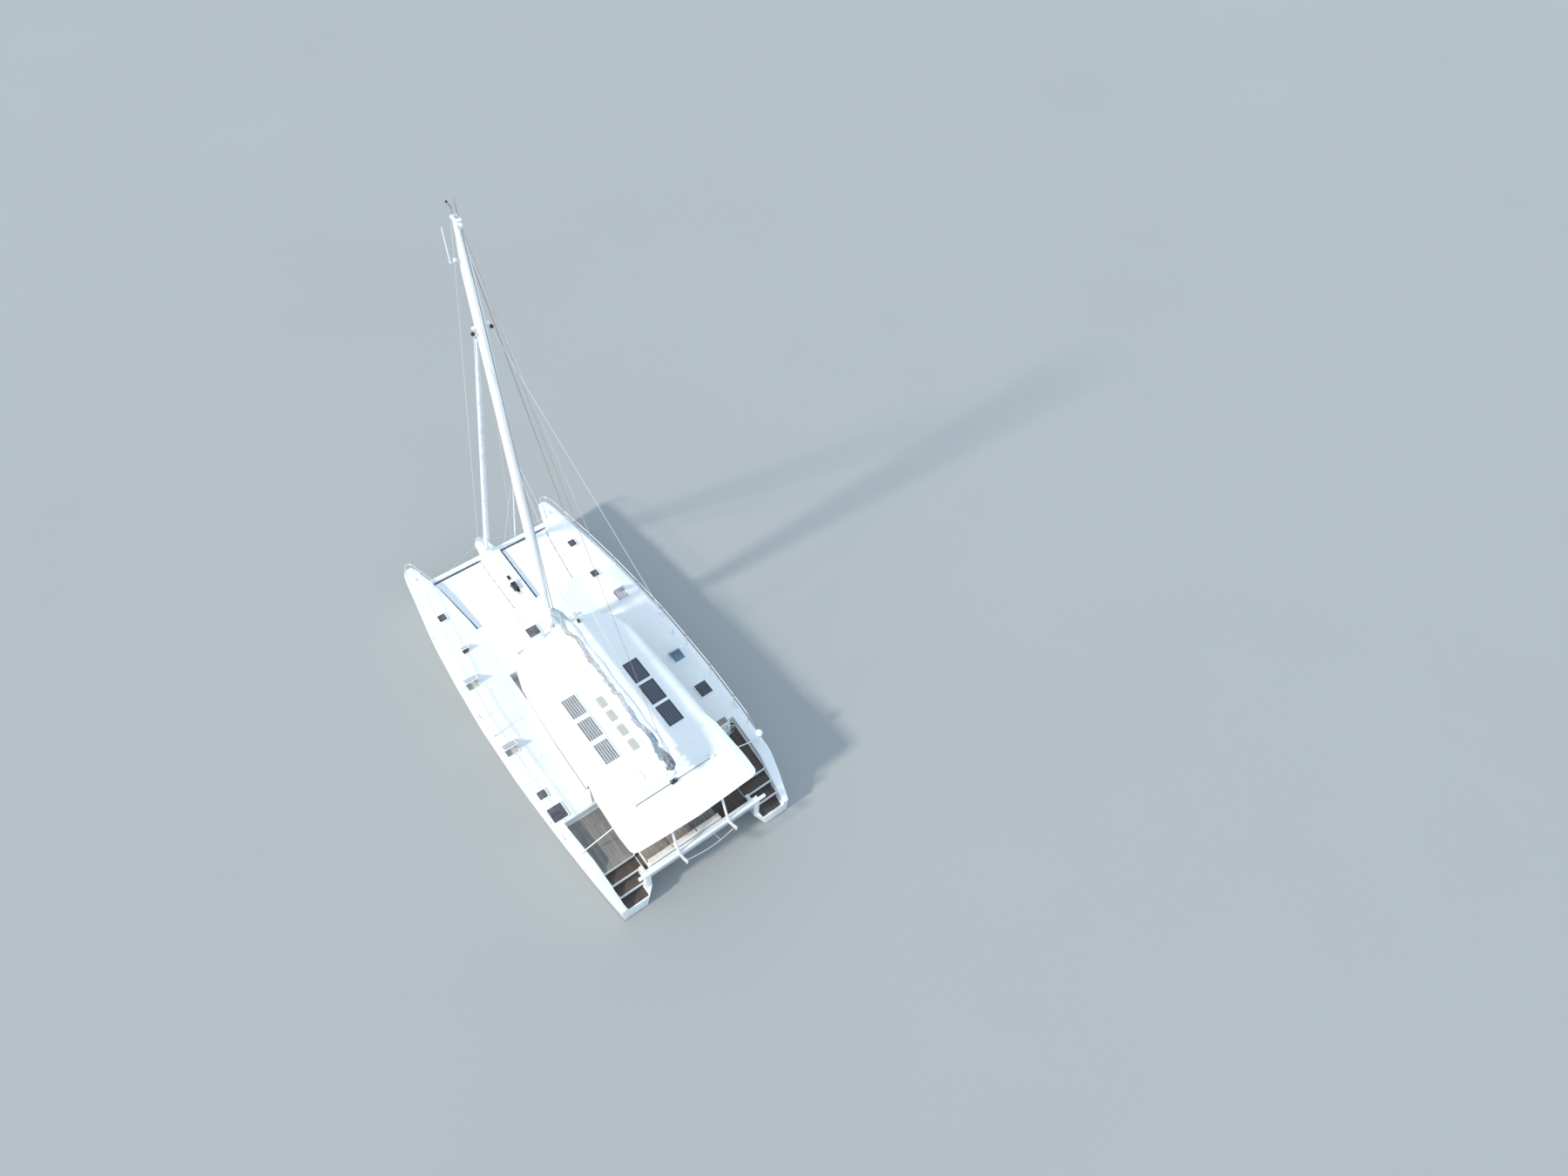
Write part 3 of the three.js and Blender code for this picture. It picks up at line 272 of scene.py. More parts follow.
def sail_look():
    """Stowed sail: white, with painted shade in its folds and a winding strip of grey creases painted as
    shade, from a teal shaded end to a blue-grey one.
    """
    look = Look("sailcloth_folds_painted_shade", (0.86, 0.865, 0.87), 0.6, Sheen_Weight=0.1)
    x, y = look.axis("X"), look.axis("Y")
    wander = look.node("ShaderNodeTexNoise", {"W": x, "Scale": 0.8, "Detail": 2.0},
                       noise_dimensions="1D").outputs[0]
    off = look.calc("ABSOLUTE", look.calc("SUBTRACT", y, look.ramp(wander, 0.3, 0.7, -0.07, 0.1)))
    reach = look.calc("ADD", look.ramp(x, -4.6, -6.4, 0.085, 0.17),
                      look.ramp(look.grain(1.0, (2.0, 9, 3)), 0.3, 0.7, -0.05, 0.06))
    # The winding strip where the grey crease shade is painted.
    shade_band = look.calc("LESS_THAN", off, reach)
    crease = look.calc("MAXIMUM", *[look.ramp(look.calc("ABSOLUTE", look.calc(
        "SUBTRACT", look.grain(1.0, stretch, 2.0), 0.5)), 0.06, 0.03)
        for stretch in ((2.4, 15, 4), (5.5, 24, 6))])
    fold = look.grain(1.0, (1.2, 9, 6), 4.0, 0.6)
    # White, with painted shade where the fold noise rises.
    white = look.mix(look.ramp(fold, 0.5, 0.66, 0, 0.3), (0.9, 0.9, 0.9), (0.68, 0.7, 0.72))
    base = look.mix(shade_band, white, look.mix(crease, (0.64, 0.645, 0.655), (0.34, 0.345, 0.355)))
    # Lavender, blue-grey and a dark tip towards the aft end: painted shade in the crease strip.
    lavender = look.mix(crease, (0.42, 0.48, 0.6), (0.34, 0.36, 0.44))
    base = look.mix(look.times(look.within(x, -4.5, -3.95, 0.1), shade_band), base, lavender)
    blue = look.mix(crease, (0.36, 0.42, 0.48), (0.17, 0.22, 0.27))
    base = look.mix(look.times(look.ramp(x, -4.9, -5.2), shade_band), base, blue)
    # Teal over the fore end of the pile: painted shade.
    teal = look.mix(look.ramp(fold, 0.4, 0.62), (0.42, 0.51, 0.54), (0.28, 0.35, 0.39))
    base = look.mix(look.ramp(x, 0.6, 0.9), base, teal)
    tip = look.mix(crease, (0.42, 0.43, 0.46), (0.11, 0.125, 0.15))
    look.colour(look.mix(look.times(look.ramp(x, -6.0, -6.3), shade_band), base, tip))
    look.bump(crease, 0.01, 0.5)
    return look.bump(fold, 0.015, 0.5)


def metal_look(name, colour, roughness):
    look = Look(name, colour, roughness, Metallic=1.0)
    rubbed = look.grain(14.0, (1, 1, 0.3))
    look.colour(look.mix(look.ramp(rubbed, 0.4, 0.7), colour, tuple(c * 0.82 for c in colour)))
    return look.rough(look.ramp(rubbed, 0.3, 0.7, roughness * 0.8, min(1.0, roughness * 1.4)))


def paint_look(name, colour, roughness=0.35):
    look = Look(name, colour, roughness, Coat_Weight=0.2)
    marks = look.grain(2.5, (1, 1, 0.2))
    look.colour(look.mix(look.ramp(marks, 0.4, 0.7), colour, tuple(c * 0.92 for c in colour)))
    look.rough(look.ramp(marks, 0.3, 0.7, roughness * 0.8, roughness * 1.25))
    return look.bump(look.grain(60.0), 0.0004, 0.2)


def glass_look(name, colour, dust=0.12):
    look = Look(name, colour, 0.08, Coat_Weight=0.6, Coat_Roughness=0.04)
    haze = look.patches(4.0, 0.4, 0.75, 0, dust)
    look.colour(look.mix(haze, colour, (0.42, 0.44, 0.46)))
    return look.rough(look.patches(5.0, 0.3, 0.7, 0.05, 0.16))


def solar_look(name, cell, line, string, centre_y):
    """Rows of cells along the boat: light lines between the rows, faint ones between cells."""
    look = Look(name, cell, 0.22, Coat_Weight=0.7, Coat_Roughness=0.08)
    tone = look.mix(look.patches(5.0, 0.35, 0.65), cell, tuple(c * 0.75 for c in cell))
    cross = look.lines("X", 0.157, 0.006, 10.0)
    tone = look.mix(look.times(cross, 0.35), tone, line)
    rows = look.lines("Y", 0.0975, 0.017, 9.75 - centre_y + 0.0085)
    return look.colour(look.mix(rows, tone, string))


def windlass_look():
    """A white drum beside its dark motor case."""
    look = Look("windlass_paint", (0.02, 0.021, 0.024), 0.4, Coat_Weight=0.2)
    case = look.calc("LESS_THAN", look.axis("X"), 5.57)
    worn = look.mix(look.patches(12.0, 0.45, 0.7), (0.02, 0.021, 0.024), (0.06, 0.06, 0.065))
    look.colour(look.mix(case, (0.82, 0.83, 0.84), worn))
    return look.rough(look.patches(9.0, 0.3, 0.7, 0.3, 0.5))


def net_look():
    look = Look("net_mesh", (0.84, 0.85, 0.85), 0.85)
    strand_and_gap_shade = look.calc("MAXIMUM", look.lines("X", 0.024, 0.009), look.lines("Y", 0.024, 0.009))
    stain = look.patches(1.4, 0.5, 0.75, 0, 0.25)
    # The squares between the mask's lines are painted darker: painted shade seen through the mesh's gaps.
    tone = look.mix(strand_and_gap_shade, (0.76, 0.775, 0.79), (0.91, 0.915, 0.92))
    look.colour(look.mix(stain, tone, (0.72, 0.73, 0.74)))
    return look.bump(strand_and_gap_shade, 0.003, 0.5)


def rope_look(name, colour, fleck):
    look = Look(name, colour, 0.85)
    lay = look.node("ShaderNodeTexWave", {"Vector": look.place, "Scale": 45.0, "Distortion": 2.0},
                    bands_direction="DIAGONAL").outputs[1]
    look.colour(look.mix(look.ramp(lay, 0.45, 0.6), colour, fleck))
    return look.bump(lay, 0.001, 0.5)


HULL = gelcoat_look("gelcoat_hull", antifouling=True)
GELCOAT = gelcoat_look("gelcoat_deck")
GLOSS = gelcoat_look("gelcoat_smooth", nonskid=False)
TEAK = teak_look("teak_planks", (0.088, 0.068, 0.059))
# A lighter, greyer copy of the teak for the port quarter: weathered grey, and painted lighter for the
# sunlight that falls there.
TEAK_SUNLIT_PAINTED = teak_look("teak_bleached_painted_sunlit", (0.27, 0.255, 0.235))
ALLOY = paint_look("spar_paint", (0.86, 0.87, 0.88))
STEEL = metal_look("stainless_polished", (0.9, 0.91, 0.92), 0.3)
BLACK = paint_look("black_fitting", (0.018, 0.019, 0.021), 0.4)
GREY = paint_look("grey_plastic", (0.2, 0.21, 0.22), 0.5)
GLASS = glass_look("tinted_glass", (0.012, 0.015, 0.02))
DARK = glass_look("acrylic_dark", (0.03, 0.028, 0.032), 0.25)
PURPLE = glass_look("acrylic_plum", (0.045, 0.035, 0.045), 0.2)
BROWN = glass_look("acrylic_brown", (0.085, 0.07, 0.062), 0.3)
NAVY = glass_look("acrylic_navy", (0.012, 0.016, 0.035), 0.08)
# BLUE and LAVENDER: panes of the open starboard lids, their colours painted shade.
BLUE = glass_look("acrylic_blue_painted_shade", (0.11, 0.16, 0.25), 0.2)
# The blue and lilac blinds paint the shade seen in the open starboard wells.
BLUE_SHADE_BLIND = cloth_look("blind_blue_painted_shade", (0.24, 0.36, 0.47), (0.14, 0.22, 0.32), 2.0)
LILAC_SHADE_BLIND = cloth_look("blind_lilac_painted_shade", (0.5, 0.49, 0.54), (0.4, 0.39, 0.44), 2.0)
# PALE: on the open lids it is a painted sky reflection; on the masthead light it is the lens's own colour.
PALE = glass_look("acrylic_pale_and_painted_reflection", (0.4, 0.42, 0.42), 0.3)
LAVENDER = glass_look("acrylic_lavender_painted_shade", (0.5, 0.49, 0.58), 0.3)
WELL = paint_look("well_lining_pale", (0.62, 0.62, 0.6), 0.6)
# The dark grey lining paints the shade in port_2's open well.
WELL_SHADE = paint_look("well_lining_painted_shade", (0.2, 0.2, 0.2), 0.6)
BEIGE = glass_look("skylight_beige", (0.47, 0.47, 0.42), 0.25)
CANVAS = cloth_look("canvas_white", (0.87, 0.88, 0.885), (0.74, 0.76, 0.79))
ROLL_LOOK = cloth_look("genoa_white", (0.86, 0.87, 0.885), (0.7, 0.73, 0.78), 0.6)
SAIL = sail_look()
SEAT = cloth_look("seat_fabric", (0.3, 0.275, 0.245), (0.17, 0.155, 0.14), 2.0, 1300.0, 0.3)
CREAM = cloth_look("seat_cream", (0.82, 0.76, 0.65), (0.66, 0.59, 0.48), 2.0, 1300.0, 0.3)
NET = net_look()
WINDLASS = windlass_look()
# Navy and grey webbing: dark strips that paint the shade of the gaps beside the trampolines.
NAVY_SHADE_WEBBING = cloth_look("webbing_navy_painted_shade", (0.03, 0.05, 0.085), (0.015, 0.025, 0.045), 3.0, 900.0, 0.05)
GREY_SHADE_WEBBING = cloth_look("webbing_grey_painted_shade", (0.26, 0.28, 0.3), (0.17, 0.18, 0.2), 3.0, 900.0, 0.05)
ROPE = rope_look("rope_white", (0.86, 0.86, 0.85), (0.66, 0.67, 0.69))
GREY_ROPE = rope_look("rope_grey", (0.36, 0.37, 0.39), (0.2, 0.21, 0.22))
RED_ROPE = rope_look("rope_red", (0.26, 0.09, 0.07), (0.5, 0.4, 0.36))
UNDER = paint_look("antifouling_paint", (0.03, 0.055, 0.085), 0.75)
DRIVE = paint_look("drive_paint", (0.12, 0.13, 0.14), 0.5)
BRONZE = metal_look("bronze_cast", (0.55, 0.36, 0.18), 0.35)
# The port array's pale cells and light lines paint the sun's glint on its glass; the starboard array has the
# cells' own navy.
SOLAR_PORT_GLINT = solar_look("solar_glinting", (0.24, 0.245, 0.25), (0.42, 0.43, 0.43), (0.8, 0.8, 0.78), 1.31)
SOLAR_STARBOARD = solar_look("solar_navy", (0.018, 0.024, 0.05), (0.07, 0.09, 0.14),
                             (0.09, 0.12, 0.2), -1.45)


# Meshes

def place(name, mesh, look, body="boat", slot=None, sharp=35):
    """A finished mesh becomes a piece that rides on a body."""
    mesh.materials.clear()
    mesh.materials.append(look.material)
    mesh.polygons.foreach_set("use_smooth", [True] * len(mesh.polygons))
    mesh.set_sharp_from_angle(angle=math.radians(sharp))
    made = bpy.data.objects.new(name, mesh)
    bpy.context.scene.collection.objects.link(made)
    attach(made, body)
    return made


def from_bmesh(name, work, look, body="boat", slot=None, sharp=35):
    bmesh.ops.recalc_face_normals(work, faces=work.faces)
    mesh = bpy.data.meshes.new(name)
    work.to_mesh(mesh)
    work.free()
    return place(name, mesh, look, body, slot, sharp)


SOFTENED_FROM = math.radians(40)


def skin(node, look, bevel):
    """A welded copy of a CAD node, with softened edges, stands for the node."""
    work = bmesh.new()
    work.from_mesh(NODES[node].data)
    bmesh.ops.remove_doubles(work, verts=work.verts, dist=0.00005)
    bmesh.ops.dissolve_limit(work, angle_limit=0.008, verts=work.verts, edges=work.edges)
    if bevel:
        edges = [e for e in work.edges if e.is_manifold and e.calc_face_angle(0) > SOFTENED_FROM]
        bmesh.ops.bevel(work, geom=edges, offset=bevel, segments=2, profile=0.6, affect="EDGES",
                        clamp_overlap=True)
    made = from_bmesh(node + "_skin", work, look, NODES[node]["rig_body"], SLOT_OF[node])
    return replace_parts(made, node)


def rounded(length, width, radius, steps=5, at=(0, 0)):
    """Outline of a rounded rectangle round a point."""
    points = []
    for sx, sy, start in ((1, 1, 0), (-1, 1, 90), (-1, -1, 180), (1, -1, 270)):
        cx, cy = sx * (length / 2 - radius), sy * (width / 2 - radius)
        for i in range(steps + 1):
            angle = math.radians(start + 90 * i / steps)
            points.append((cx + radius * math.cos(angle) + at[0],
                           cy + radius * math.sin(angle) + at[1]))
    return points


def softened(points, radius):
    """Outline through corner points with each corner cut to an arc."""
    steps = 3
    out = []
    for i, corner in enumerate(points):
        c = Vector(corner)
        a, b = Vector(points[i - 1]) - c, Vector(points[(i + 1) % len(points)]) - c
        reach = min(radius, a.length * 0.45, b.length * 0.45)
        p, q = c + a.normalized() * reach, c + b.normalized() * reach
        for k in range(steps + 1):
            t = k / steps
            out.append(tuple(p * (1 - t) ** 2 + c * 2 * t * (1 - t) + q * t ** 2))
    return out


def add_walls(work, rings):
    """Faces between each ring of corners and the next."""
    for low, high in zip(rings, rings[1:]):
        for i, a in enumerate(low):
            j = (i + 1) % len(low)
            work.faces.new((a, low[j], high[j], high[i]))


def add_shell(work, rings):
    """Walls between the rings and a face at either end."""
    add_walls(work, rings)
    work.faces.new(rings[-1])
    work.faces.new(rings[0][::-1])


def circle(radius, sides, z=0.0):
    return [Vector((radius * math.cos(a), radius * math.sin(a), z))
            for a in (2 * math.pi * k / sides for k in range(sides))]


def grid_rim(nu, nv):
    """Steps once round the edge of a grid."""
    rim = [(i, 0) for i in range(nu)] + [(nu, j) for j in range(nv)]
    return rim + [(i, nv) for i in range(nu, 0, -1)] + [(0, j) for j in range(nv, 0, -1)]


def add_slab(work, outline, z0, z1, edge=0.0, matrix=Matrix()):
    """A plate between two heights; its upper rim is cut back by edge."""
    levels = [(z0, 0.0), (z1 - edge, 0.0), (z1, edge)] if edge else [(z0, 0.0), (z1, 0.0)]
    centre = Vector((sum(p[0] for p in outline), sum(p[1] for p in outline))) / len(outline)
    rings = []
    for z, inset in levels:
        ring = []
        for p in outline:
            away = Vector(p) - centre
            moved = Vector(p) - away.normalized() * inset
            ring.append(work.verts.new(matrix @ Vector((moved.x, moved.y, z))))
        rings.append(ring)
    add_shell(work, rings)


def add_ring(work, outer, inner, z0, z1, matrix=Matrix()):
    """A frame between two outlines of as many points."""
    loops = [[work.verts.new(matrix @ Vector((*p, z))) for p in points]
             for points, z in ((outer, z0), (outer, z1), (inner, z1), (inner, z0))]
    add_walls(work, loops + loops[:1])


def add_tube(work, points, radius, sides=8, end_radius=None):
    """A closed tube along points, tapering to end_radius."""
    last = radius if end_radius is None else end_radius
    rings = []
    for i, p in enumerate(points):
        ahead = Vector(points[min(i + 1, len(points) - 1)]) - Vector(points[max(i - 1, 0)])
        turn = ahead.to_track_quat("Z", "Y")
        r = radius + (last - radius) * i / (len(points) - 1)
        rings.append([work.verts.new(Vector(p) + turn @ c) for c in circle(r, sides)])
    add_shell(work, rings)


def add_turned(work, profile, base, direction=(0, 0, 1), sides=20):
    """A turned shape of (radius, distance) pairs from base along a direction."""
    turn = Vector(direction).to_track_quat("Z", "Y")
    add_shell(work, [[work.verts.new(Vector(base) + turn @ c) for c in circle(r, sides, d)]
                     for r, d in profile])


def add_loft(work, rings):
    """A closed shape through rings of points."""
    loops = [[work.verts.new(p) for p in ring] for ring in rings]
    add_walls(work, loops)
    work.faces.new(loops[0][::-1])
    work.faces.new(loops[-1])


def tubes(name, paths, radius, look, body="boat", slot=None, sides=8):
    work = bmesh.new()
    for points in paths:
        add_tube(work, points, radius, sides)
    return from_bmesh(name, work, look, body, slot, 60)


def between(a, b, steps=1):
    """Points from a to b in equal steps."""
    a, b = Vector(a), Vector(b)
    return [a.lerp(b, i / steps) for i in range(steps + 1)]


def table_at(rows, x, column):
    """A column of a table of falling x, read at x."""
    for ahead, behind in zip(rows, rows[1:]):
        if x >= behind[0]:
            break
    share = min(1.0, max(0.0, (ahead[0] - x) / (ahead[0] - behind[0])))
    return ahead[column] + (behind[column] - ahead[column]) * share


# Carried-over nodes: node, look, edge softening
SKINS = (
    ("hull_port", HULL, 0.012), ("hull_starboard", HULL, 0.012), ("bridgedeck", GELCOAT, 0.01),
    ("saloon_shell", GELCOAT, 0.0), ("saloon_glass", GLASS, 0.0), ("saloon_door", ALLOY, 0.006),
    ("saloon_door_glass", GLASS, 0.001), ("saloon_galley", GLOSS, 0.02),
    ("cockpit_table", GLOSS, 0.01), ("hardtop", GELCOAT, 0.0), ("aft_beam", GLOSS, 0.03),
    ("davit_port", ALLOY, 0.01), ("davit_starboard", ALLOY, 0.01), ("davit_brace", STEEL, 0.0),
    ("crossbeam", ALLOY, 0.0), ("bow_walkway", GELCOAT, 0.02), ("windlass", WINDLASS, 0.004),
    ("mast", ALLOY, 0.0), ("boom", ALLOY, 0.0), ("genoa_furler", STEEL, 0.002),
    # The cap shrouds wear the white spar paint, which paints the bright sheen of their sunlit wire.
    ("forestay_head", STEEL, 0.0), ("cap_shroud_port", ALLOY, 0.0), ("cap_shroud_starboard", ALLOY, 0.0),
    ("sheet_track", ALLOY, 0.004), ("sheet_car", BLACK, 0.008), ("guard_rail_port", STEEL, 0.0),
    ("guard_rail_starboard", STEEL, 0.0), ("helm_console", GLOSS, 0.02), ("helm_wheel", STEEL, 0.0),
    ("rudder_port", UNDER, 0.0), ("rudder_starboard", UNDER, 0.0), ("drive_leg_port", DRIVE, 0.0),
    ("drive_leg_starboard", DRIVE, 0.0), ("propeller_port", BRONZE, 0.0),
    ("propeller_starboard", BRONZE, 0.0), ("cockpit_sole", TEAK, 0.003),
)
for node_name, node_look, node_edge in SKINS:
    skin(node_name, node_look, node_edge)


# Teak on the quarter decks and stern steps
# name, fore x, aft x, height, inner y, height of the kick board at its fore edge
TREADS = (
    ("quarter", -5.09, -7.415, 1.6, 2.35, 0.0),
    ("step_upper", -7.448, -7.855, 1.33, 2.32, 0.13),
    ("step_middle", -7.888, -8.265, 1.0, 2.475, 0.18),
    ("platform", -8.298, -8.69, 0.65, 2.58, 0.2),
)
for side, side_name in SIDES:
    for tread, fore, aft, height, inner, kick in TREADS:
        outer = [3.79 + (x + 5.05) * 0.072 - 0.045 for x in (fore, aft)]
        if tread == "platform":
            outer[1] -= 0.03
        corners = [(fore, side * inner), (fore, side * outer[0]),
                   (aft, side * outer[1]), (aft, side * inner)]
        pad = bmesh.new()
        add_slab(pad, softened(corners, 0.05), height + 0.0005, height + 0.012, 0.004)
        if kick:
            board = [(fore + dx, side * y) for dx, y in ((0.0075, inner), (0.0075, outer[0]),
                                                         (-0.0005, outer[0]), (-0.0005, inner))]
            add_slab(pad, board, height + 0.013, height + kick)
        # The sunlit port quarter takes the lighter teak: painted sunlight.
        sunlit = tread == "quarter" and side > 0
        from_bmesh(f"teak_{tread}_{side_name}", pad, TEAK_SUNLIT_PAINTED if sunlit else TEAK, slot="teak")

# Hatch lids
RIM_H = 0.022
LID_H = 0.026
# name, x, y, length, width, open angle, pane
# Panes of the open lids carry painted light: PALE a painted sky reflection, LAVENDER and BLUE painted shade.
HATCHES = (
    ("port_1", 5.68, 3.19, 0.42, 0.38, 0, DARK), ("port_2", 3.75, 3.15, 0.38, 0.36, 38, PALE),
    ("port_3", 2.2, 3.68, 0.6, 0.56, 38, PALE), ("port_4", -1.25, 3.87, 0.6, 0.56, 38, PALE),
    ("port_5", -3.61, 3.86, 0.42, 0.4, 0, BROWN), ("port_6", -4.57, 3.775, 0.7, 0.64, 0, PURPLE),
    ("starboard_1", 5.99, -3.14, 0.42, 0.38, 0, DARK), ("starboard_2", 4.04, -3.08, 0.42, 0.38, 0, PURPLE),
    ("starboard_3", 2.48, -3.42, 0.6, 0.56, 60, LAVENDER), ("starboard_4", -1.44, -3.6, 0.6, 0.56, 60, BLUE),
    ("starboard_5", -3.36, -3.56, 0.68, 0.6, 0, NAVY), ("foredeck_1", 2.96, 0.51, 0.56, 0.56, 0, BROWN),
    ("foredeck_2", 2.16, 1.35, 0.52, 0.52, 38, PALE),
)
# Blinds that show under an open lid; their blue and lilac colours are painted shade in those wells.
BLINDS = {"starboard_3": LILAC_SHADE_BLIND, "starboard_4": BLUE_SHADE_BLIND}
for hatch, x, y, length, width, angle, pane_look in HATCHES:
    on_hull = not hatch.startswith("foredeck")
    top = (station(x + length / 2, 3) if on_hull else DECK) + RIM_H
    hinge = Matrix.Translation((x + length / 2, y, top + LID_H / 2 + GAP))
    hinge = hinge @ Matrix.Rotation(math.radians(angle), 4, "Y") @ Matrix.Translation((-length / 2, 0, 0))
    body = NODES["hatch_" + hatch]["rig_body"]
    frame_mesh = bmesh.new()
    add_ring(frame_mesh, rounded(length, width, 0.05), rounded(length - 0.07, width - 0.07, 0.03),
             -LID_H / 2, LID_H / 2, hinge)
    for end in (-1, 1):
        add_tube(frame_mesh, [hinge @ Vector((length / 2, end * width / 4 - 0.04, 0)),
                              hinge @ Vector((length / 2, end * width / 4 + 0.04, 0))], 0.013, 10)
    lid = from_bmesh(f"lid_frame_{hatch}", frame_mesh, ALLOY, body, "hatch")
    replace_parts(lid, "hatch_" + hatch)
    pane = bmesh.new()
    add_slab(pane, rounded(length - 0.064, width - 0.064, 0.03), -0.006, 0.008, 0.003, hinge)
    from_bmesh(f"lid_pane_{hatch}", pane, pane_look, body, "hatch")
    dogs = bmesh.new()
    for end in (-1, 1):
        spot = hinge @ Matrix.Translation((-length * 0.26, end * width * 0.24, 0))
        add_slab(dogs, rounded(0.05, 0.02, 0.009), -0.022, -0.006, 0, spot)
        add_slab(dogs, rounded(0.036, 0.036, 0.017), 0.008, 0.013, 0.003, spot)
    from_bmesh(f"lid_dogs_{hatch}", dogs, BLACK, body, "hatch")
    if angle:
        well = bmesh.new()
        add_slab(well, rounded(length - 0.1, width - 0.1, 0.01), top - 0.178, top - 0.15, 0,
                 Matrix.Translation((x, y, 0)))
        # port_2's well floor takes the dark grey: painted shade in the well.
        from_bmesh(f"well_floor_{hatch}", well, WELL_SHADE if hatch == "port_2" else WELL, slot="hatch")
    if hatch in BLINDS:
        blind = bmesh.new()
        add_slab(blind, rounded(length - 0.09, width - 0.09, 0.02), top - 0.06, top - 0.05, 0.004,
                 Matrix.Translation((x, y, 0)))
        from_bmesh(f"hatch_blind_{hatch}", blind, BLINDS[hatch], slot="hatch")

# Roof: solar panels, skylights, dome, low hatch
ROOF_TOP = ROOF + GAP
PANEL_X = (-1.93, -3.08, -4.23)
SKYLIGHTS_X = (-2.35, -3.06, -3.81, -4.55)
SKYLIGHTS_Y = 0.37
# side, y of the array, look of its cells, look of its rims
# The port cells carry painted glint.
ARRAYS = (("port", 1.31, SOLAR_PORT_GLINT, GLOSS), ("starboard", -1.45, SOLAR_STARBOARD, BLACK))
for side_name, y, cell_look, rim_look in ARRAYS:
    tray = bmesh.new()
    add_slab(tray, rounded(3.34, 0.68, 0.02, at=(-3.08, y)), ROOF_TOP, ROOF_TOP + 0.018, 0.004)
    rims, cells = bmesh.new(), bmesh.new()
    for x in PANEL_X:
        spot = Matrix.Translation((x, y, ROOF_TOP))
        add_ring(rims, rounded(1.0, 0.64, 0.012, 2), rounded(0.94, 0.575, 0.008, 2), 0.017, 0.034, spot)
        add_slab(cells, rounded(0.95, 0.585, 0.008, 2), 0.0175, 0.029, 0.001, spot)
    base = from_bmesh(f"solar_tray_{side_name}", tray, GLOSS)
    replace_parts(base, f"solar_array_{side_name}")
    from_bmesh(f"solar_frames_{side_name}", rims, rim_look, slot="solar")
    from_bmesh(f"solar_cells_{side_name}", cells, cell_look, slot="solar")

strip, panes = bmesh.new(), bmesh.new()
add_slab(strip, rounded(2.77, 0.3, 0.04, at=(-3.455, SKYLIGHTS_Y)), ROOF_TOP, ROOF_TOP + 0.012, 0.004)
for x in SKYLIGHTS_X:
    spot = Matrix.Translation((x, SKYLIGHTS_Y, ROOF_TOP))
    add_slab(panes, rounded(0.5, 0.26, 0.05), 0.011, 0.034, 0.012, spot)
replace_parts(from_bmesh("skylight_strip", strip, GLOSS), "roof_skylights")
from_bmesh("skylight_panes", panes, BEIGE, slot="skylight")

dome = bmesh.new()
add_turned(dome, [(0.235, 0), (0.235, 0.02), (0.22, 0.045), (0.19, 0.07), (0.13, 0.092), (0.05, 0.1)],
           (-5.77, -0.71, ROOF_TOP), sides=32)
from_bmesh("roof_dome", dome, GLOSS, sharp=25)
low_hatch = bmesh.new()
spot = Matrix.Translation((-5.78, 1.0, ROOF_TOP))
add_ring(low_hatch, rounded(0.5, 0.5, 0.08), rounded(0.46, 0.46, 0.065), 0, 0.02, spot)
add_slab(low_hatch, rounded(0.45, 0.45, 0.06), 0, 0.024, 0.008, spot)
from_bmesh("roof_locker_lid", low_hatch, GLOSS)

# Trampolines: laced nets, drawn tight
NET_FORE, NET_AFT, NET_IN = 7.59, 4.47, 0.52
net_outer = [(x, station(max(x, 4.4), 1) - 0.07)
             for x in (NET_FORE, 7.1, 6.5, 6.0, 5.5, 5.1, 4.75, NET_AFT)]
ALONG, ACROSS = 34, 26
# Webbing round the hem: edge, its near and far side, look. The navy and grey strips paint the shade of the
# gaps beside the net.
BANDS = {
    "port": (("outer", -0.028, 0.066, NAVY_SHADE_WEBBING), ("fore", 0.0, 0.062, NAVY_SHADE_WEBBING),
             ("inner", 0.016, 0.028, GREY_SHADE_WEBBING), ("inner", 0.028, 0.066, CANVAS),
             ("aft", 0.016, 0.028, GREY_SHADE_WEBBING), ("aft", 0.028, 0.066, CANVAS)),
    "starboard": (("inner", -0.024, 0.066, NAVY_SHADE_WEBBING), ("fore", 0.0, 0.05, NAVY_SHADE_WEBBING),
                  ("outer", 0.016, 0.036, GREY_SHADE_WEBBING), ("outer", 0.036, 0.066, CANVAS),
                  ("aft", 0.016, 0.028, GREY_SHADE_WEBBING), ("aft", 0.028, 0.066, CANVAS)),
}
# Where each edge runs over the net, and which way is out of it
EDGE_AT = {
    "inner": lambda t: (t, 0),
    "outer": lambda t: (t, 1),
    "fore": lambda t: (1, t),
    "aft": lambda t: (0, t),
}
EDGE_OUT = {"inner": (0, -1, 0), "outer": (0, 1, 0), "fore": (1, 0, 0), "aft": (-1, 0, 0)}


def net_edge(x):
    return table_at(net_outer, x, 1)


def net_rim(u, v, side):
    """A point of the net's plan; u runs forward and v outward, from 0 to 1."""
    x = NET_AFT + (NET_FORE - NET_AFT) * u
    return (x, side * (NET_IN + (net_edge(x) - NET_IN) * v), NET_Z)


def net_point(u, v, side, lift):
    """A point of the drawn net: scalloped along its long edges, dipping in the middle."""
    x = NET_AFT + (NET_FORE - NET_AFT) * u
    y = NET_IN + (net_edge(x) - NET_IN) * v
    scallop = 0.018 * abs(math.sin(u * math.pi * 7.5))
    dip = 0
    if 0 < u < 1 and 0 < v < 1:
        dip = 0.035 * math.sin(math.pi * u) ** 0.6 * math.sin(math.pi * v) ** 0.6
    y += scallop * (1 if v == 0 else -1 if v == 1 else 0)
    return (x, side * y, NET_Z - dip + lift)


